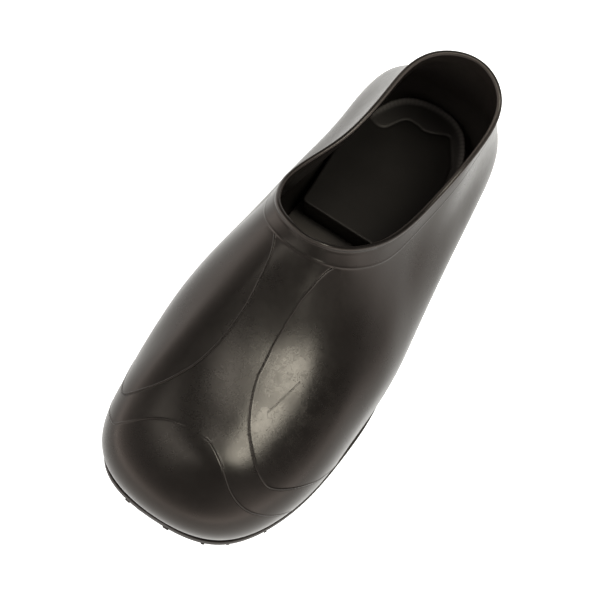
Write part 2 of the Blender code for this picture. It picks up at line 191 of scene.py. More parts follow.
@dataclass
class ShoeForm:
    """The form that every piece follows: seat line, heights of the sole, and the wall's ribs."""

    stations: tuple[Station, ...] = STATIONS
    throat_shift: float = -14.0
    heel_shift: float = 7.0
    seat: float = 9.5
    lug_height: float = 4.0
    toe_spring: float = 9.0
    spring_start: float = -85.0
    spring_run: float = 75.0
    arch: float = 2.4
    arch_middle: float = 30.0
    arch_half: float = 45.0
    swell_shares: tuple[float, ...] = (0.0, 0.9, 1.25)
    swell_heights: tuple[float, ...] = (0.0, 0.25, 0.62)
    rim_upright: float = 14.0
    level_share: float = 0.1
    crown_low: float = 50.0
    crown_high: float = 70.0
    end_slope: float = 9.0
    last_share: float = 1.0 - 1e-9
    rim_step: float = 0.01

    def __post_init__(self) -> None:
        """Work out the ring of stations, outer side first, and their places round the shoe."""
        names = Station.__dataclass_fields__
        column = {name: np.array([getattr(row, name) for row in self.stations]) for name in names}
        along = (column["rim_y"] - column["rim_y"].min()) / np.ptp(column["rim_y"])
        shift = self.throat_shift + (self.heel_shift - self.throat_shift) * along
        shared = [column[name] for name in ("rim_y", "rim_z", "bulge", "crown_z", "crown_in", "lean")]
        outer_rim = column["rim_x"] + shift
        inner_rim = column["inner_in"] - column["rim_x"] + shift
        outer_seat = column["seat_x"] + column["flare"]
        inner_seat = column["flare"] - column["seat_x"]
        outer = np.stack([outer_seat, column["seat_y"], outer_rim, *shared], axis=1)
        inner = np.stack([inner_seat, column["seat_y"], inner_rim, *shared], axis=1)
        steps = np.hypot(np.diff(column["seat_x"]), np.diff(column["seat_y"]))
        half = np.concatenate([[0.0], np.cumsum(steps)]) / (2.0 * steps.sum())
        self.places = np.concatenate([half, 1.0 - half[1:-1][::-1]])
        self.rows = np.vstack([outer, inner[1:-1][::-1]])

    def toe_rise(self, y: Array) -> Array:
        """Return how far the sole has sprung up at y."""
        run = np.clip((self.spring_start - np.asarray(y)) / self.spring_run, 0.0, None)
        return self.toe_spring * run**2

    def ground(self, y: Array) -> Array:
        """Return the height of the lugs' lower faces at y: toe spring and arch."""
        across = np.clip(np.abs(np.asarray(y) - self.arch_middle) / self.arch_half, 0.0, 1.0)
        return self.toe_rise(y) + self.arch * np.cos(0.5 * math.pi * across) ** 2

    def tread(self, y: Array) -> Array:
        """Return the height of the sole's underside at y."""
        return self.lug_height + self.ground(y)

    def seat_height(self, y: Array) -> Array:
        """Return the height of the seat line at y."""
        return self.seat + self.toe_rise(y)

    def seat_line(self, u: Array, out: Array | float = 0.0) -> tuple[Array, Array]:
        """Return plan points on the seat line moved outwards, and the outward normals."""
        return plan_offset(self.rows[:, :2], self.places, u, out)

    def rib_weights(self, v: Array) -> Array:
        """Weigh the six points of a rib, by a clamped cubic B-spline that runs on straight above 1.

        Args:
            v: Shares of the way up the rib.

        Returns:
            Six weights for each share.
        """
        knots = np.concatenate([np.zeros(3), np.linspace(0.0, 1.0, 4), np.ones(3)])
        above = self.end_slope * np.clip(np.asarray(v, dtype=float) - 1.0, 0.0, None)
        v = np.clip(np.asarray(v, dtype=float), 0.0, self.last_share)
        weights = [((v >= low) & (v < high)).astype(float) for low, high in zip(knots[:-1], knots[1:])]
        for degree in range(1, 4):
            raised = []
            for index in range(len(weights) - 1):
                rise = knots[index + degree] - knots[index]
                fall = knots[index + degree + 1] - knots[index + 1]
                total = np.zeros_like(v)
                if rise > 0.0:
                    total += (v - knots[index]) / rise * weights[index]
                if fall > 0.0:
                    total += (knots[index + degree + 1] - v) / fall * weights[index + 1]
                raised.append(total)
            weights = raised
        weights[-1] = weights[-1] + above
        weights[-2] = weights[-2] - above
        return np.stack(weights, axis=-1)

    def wall(self, u: Array, v: Array) -> Array:
        """Work out the outside of the wall.

        Args:
            u: Shares of the way round.
            v: Shares of the way up the ribs.

        Returns:
            Points on the wall.
        """
        row = ring_spline(self.rows, self.places, u)
        seat, normal = self.seat_line(u)
        rim = row[..., 2:4]
        rim_z, bulge, crown_z, crown_in, lean = np.moveaxis(row[..., 4:], -1, 0)
        reach = np.linalg.norm(rim - seat, axis=-1)
        inward = (rim - seat) / reach[..., None]
        low = self.seat_height(seat[..., 1])
        none = np.zeros_like(low)
        slide = np.stack([none, none, none, crown_in, reach - lean, reach], axis=-1)
        swell = np.stack([share * bulge for share in self.swell_shares] + [none] * 3, axis=-1)
        lower = [low + share * (crown_z - low) for share in self.swell_heights]
        height = np.stack(lower + [crown_z, rim_z - self.rim_upright, rim_z], axis=-1)
        weights = self.rib_weights(v)
        plan = seat + inward * (slide * weights).sum(-1)[..., None]
        plan = plan + normal * (swell * weights).sum(-1)[..., None]
        return np.concatenate([plan, (height * weights).sum(-1)[..., None]], axis=-1)

    def wall_normal(self, u: Array, v: Array) -> Array:
        """Work out which way the wall faces.

        Args:
            u: Shares of the way round.
            v: Shares of the way up the ribs.

        Returns:
            Outward unit normals, level along the seat line.
        """
        up = self.wall(u, v + SHARE_STEP) - self.wall(u, np.clip(v - SHARE_STEP, 0.0, None))
        around = self.wall(u + SHARE_STEP, v) - self.wall(u - SHARE_STEP, v)
        normal = np.cross(up, around)
        normal[..., 2] *= np.clip(v / self.level_share, 0.0, 1.0)
        return normal / np.linalg.norm(normal, axis=-1, keepdims=True)

    def off_wall(self, u: Array, v: Array, out: Array | float) -> Array:
        """Return points moved off the wall along its normal."""
        return self.wall(u, v) + self.wall_normal(u, v) * np.asarray(out, dtype=float)[..., None]

    def rim_share(self, u: Array, below: Array) -> Array:
        """Turn a distance along the wall into a share of the rib.

        Args:
            u: Shares of the way round.
            below: Distance below the rim.

        Returns:
            Shares of the way up the ribs.
        """
        rim = self.wall(u, np.ones_like(u))
        run = np.linalg.norm(rim - self.wall(u, np.full_like(u, 1.0 - self.rim_step)), axis=-1)
        return 1.0 - below * self.rim_step / run


@dataclass(frozen=True)
class MouldLine:
    """A fine step moulded into the wall, where one layer of rubber ends on another.

    points are u and v along the line. The raised layer lies on the left of the direction of travel, seen
    from outside, or on the right where side is -1. The step fades in and out over the shares of the line in
    ends, and is faint round faint_at. crispness is the strength of its finest edge.
    """

    points: tuple[tuple[float, float], ...]
    side: float = 1.0
    height: float = 0.16
    half_width: float = 0.3
    bead: float = 0.21
    bead_width: float = 0.42
    spread: float = 13.0
    ends: tuple[float, float] = (0.01, 0.03)
    faint_at: float = -1.0
    faint_run: float = 0.09
    faint_share: float = 0.04
    crispness: float = 1.0
    samples: int = 420
    batch: int = 4000

    def path(self, form: ShoeForm) -> Array:
        """Return points on the wall along the line."""
        u, v = through(self.points, self.samples).T
        return form.wall(u, np.clip(v, 0.0, 1.0))

    def reach(self, path: Array, points: Array, normals: Array) -> tuple[Array, Array]:
        """Measure how far wall points lie from the line.

        Args:
            path: Points along the line.
            points: Wall points.
            normals: Outward normals at those points.

        Returns:
            The distance of each point, positive on the raised side, and its share of the way along the
            line.
        """
        run = np.gradient(path, axis=0)
        far = np.empty(len(points))
        share = np.empty(len(points))
        for start in range(0, len(points), self.batch):
            part = slice(start, start + self.batch)
            gap = points[part, None, :] - path[None, :, :]
            nearest = (gap**2).sum(-1).argmin(1)
            offset = gap[np.arange(len(nearest)), nearest]
            along = run[nearest] / np.linalg.norm(run[nearest], axis=1, keepdims=True)
            across = np.cross(normals[part], along)
            sign = np.where((offset * across).sum(1) >= 0.0, 1.0, -1.0)
            slack = (offset * along).sum(1)
            far[part] = sign * self.side * np.sqrt(np.maximum((offset**2).sum(1) - slack**2, 0.0))
            beyond = (nearest == 0) | (nearest == len(path) - 1)
            far[part] = np.where(beyond, sign * self.side * np.linalg.norm(offset, axis=1), far[part])
            share[part] = nearest / (len(path) - 1.0)
        return far, share

    def lift(self, far: Array) -> Array:
        """Return the height of the wall over its plain form, at distances from the line."""
        edge = smooth(-self.half_width, self.half_width, far)
        layer = self.height * edge * bell(np.maximum(far, 0.0), self.spread)
        return layer + self.bead * bell(far - 0.5 * self.half_width, self.bead_width)

    def strength(self, share: Array) -> Array:
        """Fade the line at its ends and where it is faint.

        Args:
            share: Shares of the way along the line.

        Returns:
            How clear the line is there.
        """
        strength = smooth(0.0, self.ends[0], share) * smooth(0.0, self.ends[1], 1.0 - share)
        if self.faint_at < 0.0:
            return strength
        return strength * (1.0 - (1.0 - self.faint_share) * bell(share - self.faint_at, self.faint_run))


INNER_PANEL = MouldLine(
    points=(
        (0.597, 0.974), (0.586, 0.967), (0.570, 0.954), (0.557, 0.941), (0.545, 0.920), (0.538, 0.899),
        (0.534, 0.880), (0.5295, 0.857), (0.527, 0.833), (0.5265, 0.809), (0.527, 0.788), (0.528, 0.767),
        (0.5305, 0.742), (0.534, 0.716), (0.541, 0.682), (0.555, 0.608), (0.564, 0.548),
        (0.574, 0.468), (0.587, 0.405), (0.603, 0.340), (0.620, 0.265), (0.640, 0.150), (0.652, 0.030),
    ),
    side=-1.0,
    crispness=2.0,
)
OUTER_PANEL = MouldLine(
    points=(
        (0.3865, 0.961), (0.3965, 0.956), (0.4125, 0.948), (0.430, 0.930), (0.443, 0.909), (0.4535, 0.890),
        (0.459, 0.870), (0.464, 0.851), (0.467, 0.831), (0.470, 0.812), (0.472, 0.776), (0.473, 0.758),
        (0.470, 0.724), (0.463, 0.680), (0.4535, 0.636), (0.4395, 0.560), (0.4325, 0.524), (0.424, 0.494),
        (0.4125, 0.456), (0.398, 0.398), (0.3875, 0.340), (0.375, 0.274), (0.357, 0.160), (0.345, 0.030),
    ),
)
TOE_CAP = MouldLine(
    points=(
        (0.602, 0.060), (0.590, 0.200), (0.578, 0.300), (0.566, 0.370), (0.555, 0.430), (0.549, 0.492),
        (0.539, 0.562), (0.527, 0.602), (0.5125, 0.620), (0.500, 0.624), (0.488, 0.622), (0.4775, 0.603),
        (0.469, 0.574), (0.4575, 0.514), (0.448, 0.462), (0.441, 0.424), (0.433, 0.380), (0.419, 0.288),
        (0.408, 0.200), (0.398, 0.060),
    ),
    height=0.10,
    bead=0.16,
    ends=(0.05, 0.05),
    faint_at=0.46,
    faint_run=0.115,
    faint_share=0.0,
    crispness=1.3,
)


class Value:
    """A number in a shader: an output socket whose operators add Math nodes."""

    def __init__(self, graph: "Graph", socket: bpy.types.NodeSocket) -> None:
        """Wrap an output socket of the graph."""
        self.graph = graph
        self.socket = socket

    def math(self, operation: str, *others: "Value | float") -> "Value":
        """Return the result of a Math node whose first operand is this value."""
        sockets = dict(enumerate((self, *others)))
        return self.graph.value("ShaderNodeMath", "Value", {"operation": operation}, sockets)

    def reflected(self, operation: str, other: float) -> "Value":
        """Return the result of a Math node whose second operand is this value."""
        return self.graph.value("ShaderNodeMath", "Value", {"operation": operation}, {0: other, 1: self})

    def __add__(self, other: "Value | float") -> "Value":
        """Return the sum."""
        return self.math("ADD", other)

    def __sub__(self, other: "Value | float") -> "Value":
        """Return the difference."""
        return self.math("SUBTRACT", other)

    def __rsub__(self, other: float) -> "Value":
        """Return a number less this value."""
        return self.reflected("SUBTRACT", other)

    def __mul__(self, other: "Value | float") -> "Value":
        """Return the product."""
        return self.math("MULTIPLY", other)

    __radd__ = __add__
    __rmul__ = __mul__

    def size(self) -> "Value":
        """Return the value without its sign."""
        return self.math("ABSOLUTE")

    def step(self, low: float, high: float) -> "Value":
        """Return a soft step from 0 at low to 1 at high."""
        sockets: Sockets = {"Value": self, "From Min": low, "From Max": high}
        return self.graph.value("ShaderNodeMapRange", "Result", {"interpolation_type": "SMOOTHSTEP"}, sockets)


class Graph:
    """A node tree under construction, for a material, the world or Geometry Nodes."""

    def __init__(self, tree: bpy.types.NodeTree) -> None:
        """Wrap a node tree."""
        self.tree = tree

    def add(
        self, kind: str, settings: Settings | None = None, sockets: Sockets | None = None
    ) -> bpy.types.Node:
        """Add a node.

        Args:
            kind: Type of the node.
            settings: Its properties, set first; stops fills a colour ramp.
            sockets: Values or links of its inputs, by name or number.

        Returns:
            The new node.
        """
        node = self.tree.nodes.new(kind)
        for name, setting in (settings or {}).items():
            if name == "stops":
                self.fill_ramp(node.color_ramp, setting)
            else:
                setattr(node, name, setting)
        for name, given in (sockets or {}).items():
            self.feed(node.inputs[name], given)
        return node

    @staticmethod
    def fill_ramp(ramp: bpy.types.ColorRamp, stops: Sequence[tuple[float, Colour]]) -> None:
        """Give a colour ramp its stops.

        Args:
            ramp: Ramp to fill.
            stops: A place and a colour for each stop.
        """
        while len(ramp.elements) < len(stops):
            ramp.elements.new(1.0)
        for element, (place, colour) in zip(ramp.elements, stops):
            element.position = place
            element.color = (*colour, 1.0)

    def feed(self, socket: bpy.types.NodeSocket, given: object) -> None:
        """Link or set an input socket.

        Args:
            socket: Input to fill.
            given: A socket to link, or a plain value to set.
        """
        if isinstance(given, Value):
            self.tree.links.new(given.socket, socket)
        elif isinstance(given, bpy.types.NodeSocket):
            self.tree.links.new(given, socket)
        else:
            socket.default_value = given

    def value(
        self, kind: str, output: str, settings: Settings | None = None, sockets: Sockets | None = None
    ) -> Value:
        """Add a node and return one of its outputs as a value."""
        return Value(self, self.add(kind, settings, sockets).outputs[output])

    def attribute(self, name: str) -> Value:
        """Return a number that the mesh carries at its vertices."""
        return self.value("ShaderNodeAttribute", "Fac", {"attribute_name": name})

    def noise(
        self, place: bpy.types.NodeSocket, grain: float, detail: float, rough: float = 0.55
    ) -> Value:
        """Return a noise whose features are grain millimetres apart."""
        scale = 1.0 / (grain * MM)
        sockets: Sockets = {"Vector": place, "Scale": scale, "Detail": detail, "Roughness": rough}
        return self.value("ShaderNodeTexNoise", "Fac", None, sockets)

    def blend(self, share: Value | float, first: object, second: object) -> bpy.types.NodeSocket:
        """Return a mix of two colours."""
        settings: Settings = {"data_type": "RGBA"}
        node = self.add("ShaderNodeMix", settings, {0: share, 6: first, 7: second})
        return node.outputs[2]

    def stretched(
        self, place: bpy.types.NodeSocket, turn: Sequence[float], scale: Sequence[float]
    ) -> bpy.types.NodeSocket:
        """Return coordinates turned and then scaled."""
        turned = self.add("ShaderNodeMapping", None, {"Vector": place, "Rotation": turn}).outputs["Vector"]
        return self.add("ShaderNodeMapping", None, {"Vector": turned, "Scale": scale}).outputs["Vector"]


class Wear(Enum):
    """Where a rubber piece shows marks of use."""

    HANDLED = "handled"
    INSIDE = "inside"
    UNDERFOOT = "underfoot"


@dataclass(frozen=True)
class Mask:
    """A noise cut to a soft mask: grain in millimetres, detail, roughness, and its lower and upper cut."""

    grain: float
    detail: float
    rough: float
    low: float
    high: float

    def at(self, graph: Graph, place: bpy.types.NodeSocket) -> Value:
        """Return the mask over coordinates."""
        return graph.noise(place, self.grain, self.detail, self.rough).step(self.low, self.high)


SMUDGE = Mask(26.0, 2.0, 0.5, 0.30, 0.75)
MOTTLE = Mask(3.2, 3.0, 0.55, 0.30, 0.75)
GRIT = Mask(1.1, 2.0, 0.55, 0.55, 0.72)
LINT = Mask(2.3, 1.0, 0.4, 0.74, 0.78)
STREAK = Mask(9.0, 3.0, 0.6, 0.50, 0.78)
BLOTCH = Mask(8.0, 3.0, 0.5, 0.32, 0.72)
SPECK = Mask(1.2, 3.0, 0.7, 0.50, 0.68)


@dataclass(frozen=True)
class ToeWear:
    """Marks of use on the outside: a long scratch, scuffs, specks and streaks. Widths are millimetres."""

    scratch_core: float = 0.12
    scratch_edge: float = 0.42
    scratch_bloom: float = 0.25
    scratch_depth: float = 0.05
    streak_turn: tuple[float, float, float] = (0.0, 0.0, 0.22)
    streak_scale: tuple[float, float, float] = (8.0, 1.0, 8.0)
    scuff_blotch: float = 0.65
    scuff_bloom: float = 0.4
    scuff_rough: float = 0.05
    speck_floor: float = 0.3
    speck_share: float = 0.75
    speck_rough: float = 0.09
    speck_depth: float = 0.016
    polish: float = 0.05


@dataclass(frozen=True)
class LineEdge:
    """The finest edge of a moulded line, a crest beside a crease. Sizes are millimetres."""

    crest_at: float = 0.3
    crest_width: float = 0.6
    crest_height: float = 0.13
    crease_at: float = -0.4
    crease_width: float = 0.55
    crease_depth: float = 0.13

    def height(self, graph: Graph) -> Value:
        """Shape the edge from the distances that the mesh carries.

        Args:
            graph: Graph of the finish.

        Returns:
            The height of the edge over the skin.
        """
        line = graph.attribute("line")
        crest = 1.0 - (line - self.crest_at).size().step(0.0, self.crest_width)
        crease = 1.0 - (line - self.crease_at).size().step(0.0, self.crease_width)
        return graph.attribute("line_share") * (self.crest_height * crest - self.crease_depth * crease)


@dataclass(frozen=True)
class RubberFinish:
    """A black moulded rubber: colours, gloss, and the relief of its skin in millimetres."""

    name: str
    base: Colour
    bloom: Colour
    bloom_share: float
    roughness: float
    roughness_swing: float
    gleam: Colour = (1.0, 0.89, 0.82)
    # Pale tone that the lining share mixes in: painted light inside and painted highlights, not a colour of
    # the rubber.
    lining: Colour = (0.026, 0.0215, 0.0185)
    lining_roughness: float = 0.18
    grain: float = 0.55
    grain_height: float = 0.006
    peel: float = 4.5
    peel_height: float = 0.03
    peel_rough: float = 0.5
    skin_detail: float = 2.0
    mottle_floor: float = 0.35
    smudge_weight: float = 0.6
    grit_share: float = 0.25
    lint_share: float = 0.5
    wear: Wear = Wear.HANDLED
    toe_wear: ToeWear = ToeWear()
    line_edge: LineEdge = LineEdge()

    def material(self) -> bpy.types.Material:
        """Make the finish.

        Returns:
            A node material.
        """
        material = bpy.data.materials.new(self.name)
        material.use_nodes = True
        graph = Graph(material.node_tree)
        shader = material.node_tree.nodes["Principled BSDF"]
        shader.inputs["Specular Tint"].default_value = (*self.gleam, 1.0)
        place = graph.add("ShaderNodeTexCoord").outputs["Object"]
        smudge, mottle = SMUDGE.at(graph, place), MOTTLE.at(graph, place)
        bloom = smudge * (self.mottle_floor + (1.0 - self.mottle_floor) * mottle) * self.bloom_share
        cloud = self.smudge_weight * smudge + (1.0 - self.smudge_weight) * mottle
        rough = self.roughness + self.roughness_swing * (cloud - 0.5)
        relief = self.relief(graph, place)
        if self.wear is Wear.HANDLED:
            bloom, rough, relief = self.handled(graph, place, bloom, rough, relief)
        elif self.wear is Wear.UNDERFOOT:
            bloom = bloom + self.grit_share * GRIT.at(graph, place)
        else:
            bloom = bloom + self.lint_share * LINT.at(graph, place)
        # The lining share mixes in the pale lining tone, painted light and painted highlights, and makes the
        # surface rougher.
        lining = graph.attribute("lining")
        outside = graph.blend(bloom, (*self.base, 1.0), (*self.bloom, 1.0))
        graph.feed(shader.inputs["Base Color"], graph.blend(lining, outside, (*self.lining, 1.0)))
        graph.feed(shader.inputs["Roughness"], rough + self.lining_roughness * lining)
        sockets: Sockets = {"Height": relief, "Distance": MM, "Strength": 1.0}
        graph.feed(shader.inputs["Normal"], graph.add("ShaderNodeBump", None, sockets).outputs["Normal"])
        return material

    def relief(self, graph: Graph, place: bpy.types.NodeSocket) -> Value:
        """Return the height of the skin in millimetres: fine grain over a soft unevenness."""
        grain = graph.noise(place, self.grain, self.skin_detail)
        peel = graph.noise(place, self.peel, self.skin_detail, self.peel_rough)
        return self.grain_height * grain + self.peel_height * peel

    def handled(
        self, graph: Graph, place: bpy.types.NodeSocket, bloom: Value, rough: Value, relief: Value
    ) -> tuple[Value, Value, Value]:
        """Add the marks of use of the outside, and the crisp edge of the moulded lines.

        Args:
            graph: The material's nodes.
            place: Object coordinates.
            bloom: Share of the pale bloom so far.
            rough: Roughness so far.
            relief: Height of the skin so far.

        Returns:
            The three values with the marks added.
        """
        wear = self.toe_wear
        scratch = 1.0 - graph.attribute("scratch").size().step(wear.scratch_core, wear.scratch_edge)
        toe = graph.attribute("toe_scuff")
        streaks = STREAK.at(graph, graph.stretched(place, wear.streak_turn, wear.streak_scale))
        blotch, specks = BLOTCH.at(graph, place), SPECK.at(graph, place)
        scuff = toe * (wear.scuff_blotch * blotch + (1.0 - wear.scuff_blotch) * streaks)
        fine = wear.speck_share * specks + (1.0 - wear.speck_share) * streaks
        nicks = toe * (wear.speck_floor + (1.0 - wear.speck_floor) * blotch) * fine
        bloom = bloom + wear.scuff_bloom * scuff + wear.scratch_bloom * scratch
        rough = rough + wear.scuff_rough * scuff + wear.speck_rough * nicks - wear.polish * toe
        relief = relief + self.line_edge.height(graph)
        relief = relief - wear.scratch_depth * scratch - wear.speck_depth * nicks
        return bloom, rough, relief


UPPER_RUBBER = RubberFinish(
    name="upper_rubber",
    base=(0.0060, 0.0046, 0.0037),
    bloom=(0.024, 0.020, 0.017),
    bloom_share=0.22,
    roughness=0.30,
    roughness_swing=0.07,
    # Pale tone for the painted light inside the upper and the painted highlight lines on the bead.
    lining=(0.09, 0.075, 0.066),
)
STRIP_RUBBER = RubberFinish(
    name="strip_rubber",
    base=(0.0060, 0.0046, 0.0037),
    bloom=(0.024, 0.020, 0.017),
    bloom_share=0.25,
    roughness=0.32,
    roughness_swing=0.08,
)
SOLE_RUBBER = RubberFinish(
    name="sole_rubber",
    base=(0.0065, 0.0052, 0.0044),
    bloom=(0.030, 0.026, 0.022),
    bloom_share=0.30,
    roughness=0.55,
    roughness_swing=0.12,
    # Pale tone of the inner floor: painted light.
    lining=(0.125, 0.106, 0.094),
    grain_height=0.014,
    wear=Wear.UNDERFOOT,
)
PAD_RUBBER = RubberFinish(
    name="pad_rubber",
    base=(0.0070, 0.0055, 0.0046),
    bloom=(0.020, 0.017, 0.014),
    # Pale tone of the painted highlight on the pad's back ridge and tab.
    lining=(0.15, 0.132, 0.12),
    bloom_share=0.20,
    roughness=0.50,
    roughness_swing=0.08,
    grain=0.8,
    grain_height=0.012,
    wear=Wear.INSIDE,
)


def store(mesh: bpy.types.Mesh, name: str, values: Array) -> None:
    """Give the mesh a number at each vertex."""
    layer = mesh.attributes.new(name, "FLOAT", "POINT")
    layer.data.foreach_set("value", np.asarray(values, dtype=np.float32))


def joined(lower: Sequence[int], upper: Sequence[int]) -> list[tuple[int, ...]]:
    """Return faces between two closed loops of vertex numbers of the same length."""
    count = len(lower)
    return [(lower[i], lower[(i + 1) % count], upper[(i + 1) % count], upper[i]) for i in range(count)]


def sheet_faces(columns: int, rows: int) -> list[tuple[int, ...]]:
    """Return the faces of a stack of closed loops, row after row."""
    loops = np.arange(columns * rows).reshape(rows, columns).tolist()
    return [face for lower, upper in zip(loops, loops[1:]) for face in joined(lower, upper)]


def ladder(loop: Sequence[int]) -> list[tuple[int, ...]]:
    """Fill a loop that is numbered from the heel, with the same count on both sides.

    Args:
        loop: Vertex numbers round the loop.

    Returns:
        Faces, one rung after another.
    """
    count = len(loop)
    half = count // 2
    rungs = [(loop[i], loop[i + 1], loop[count - i - 1], loop[count - i]) for i in range(1, half - 1)]
    return [(loop[0], loop[1], loop[-1]), *rungs, (loop[half - 1], loop[half], loop[half + 1])]


def shown(name: str, mesh: bpy.types.Mesh, finish: bpy.types.Material, sharp: float) -> bpy.types.Object:
    """Link a finished mesh as a piece.

    Args:
        name: Name of the piece.
        mesh: Its mesh, in the frame's metres.
        finish: Its material.
        sharp: Angle in degrees above which an edge is drawn sharp.

    Returns:
        The piece, at the origin.
    """
    shape = bmesh.new()
    shape.from_mesh(mesh)
    bmesh.ops.recalc_face_normals(shape, faces=shape.faces)
    shape.to_mesh(mesh)
    shape.free()
    mesh.materials.clear()
    mesh.materials.append(finish)
    mesh.shade_smooth()
    mesh.set_sharp_from_angle(angle=math.radians(sharp))
    piece = bpy.data.objects.new(name, mesh)
    bpy.context.scene.collection.objects.link(piece)
    triangles = sum(len(face.vertices) - 2 for face in mesh.polygons)
    LOG.info("%s: %d triangles", name, triangles)
    return piece


def refined(shape: bmesh.types.BMesh, distance: Callable[[Array], Array], reaches: Sequence[float]) -> None:
    """Split the edges of a parameter sheet near a line, once for each reach.

    Args:
        shape: Sheet whose vertices hold parameters, not places.
        distance: Returns how far each row of parameters lies from the line, in millimetres.
        reaches: Distance within which edges are split, pass after pass.
    """
    for reach in reaches:
        far = distance(np.array([vertex.co for vertex in shape.verts]))
        shape.verts.index_update()
        near = [edge for edge in shape.edges if max(far[v.index] for v in edge.verts) < reach]
        bmesh.ops.subdivide_edges(shape, edges=near, cuts=1, use_grid_fill=True)


class Zone(IntEnum):
    """Stretches of the upper's section, from the seat up the outside, over the collar and down the inside."""

    WALL = 0
    BAND = 1
    BEAD = 2
    LINING = 3
    END = 4


@dataclass(frozen=True)
class Ripple:
    """A long, shallow wave of the wall: cycles round the shoe, cycles up the rib, phase and height."""

    around: float
    up: float
    phase: float
    height: float


@dataclass(frozen=True)
class Hollow:
    """A soft hollow in the vamp, or a swell where depth is less than 0: depth, middle and reach."""

    depth: float
    middle: tuple[float, float]
    reach: tuple[float, float]

    def depth_at(self, points: Array) -> Array:
        """Return the depth at wall points."""
        away = (points[:, :2] - np.array(self.middle)) / np.array(self.reach)
        return self.depth * bell(np.hypot(*away.T), 1.0)


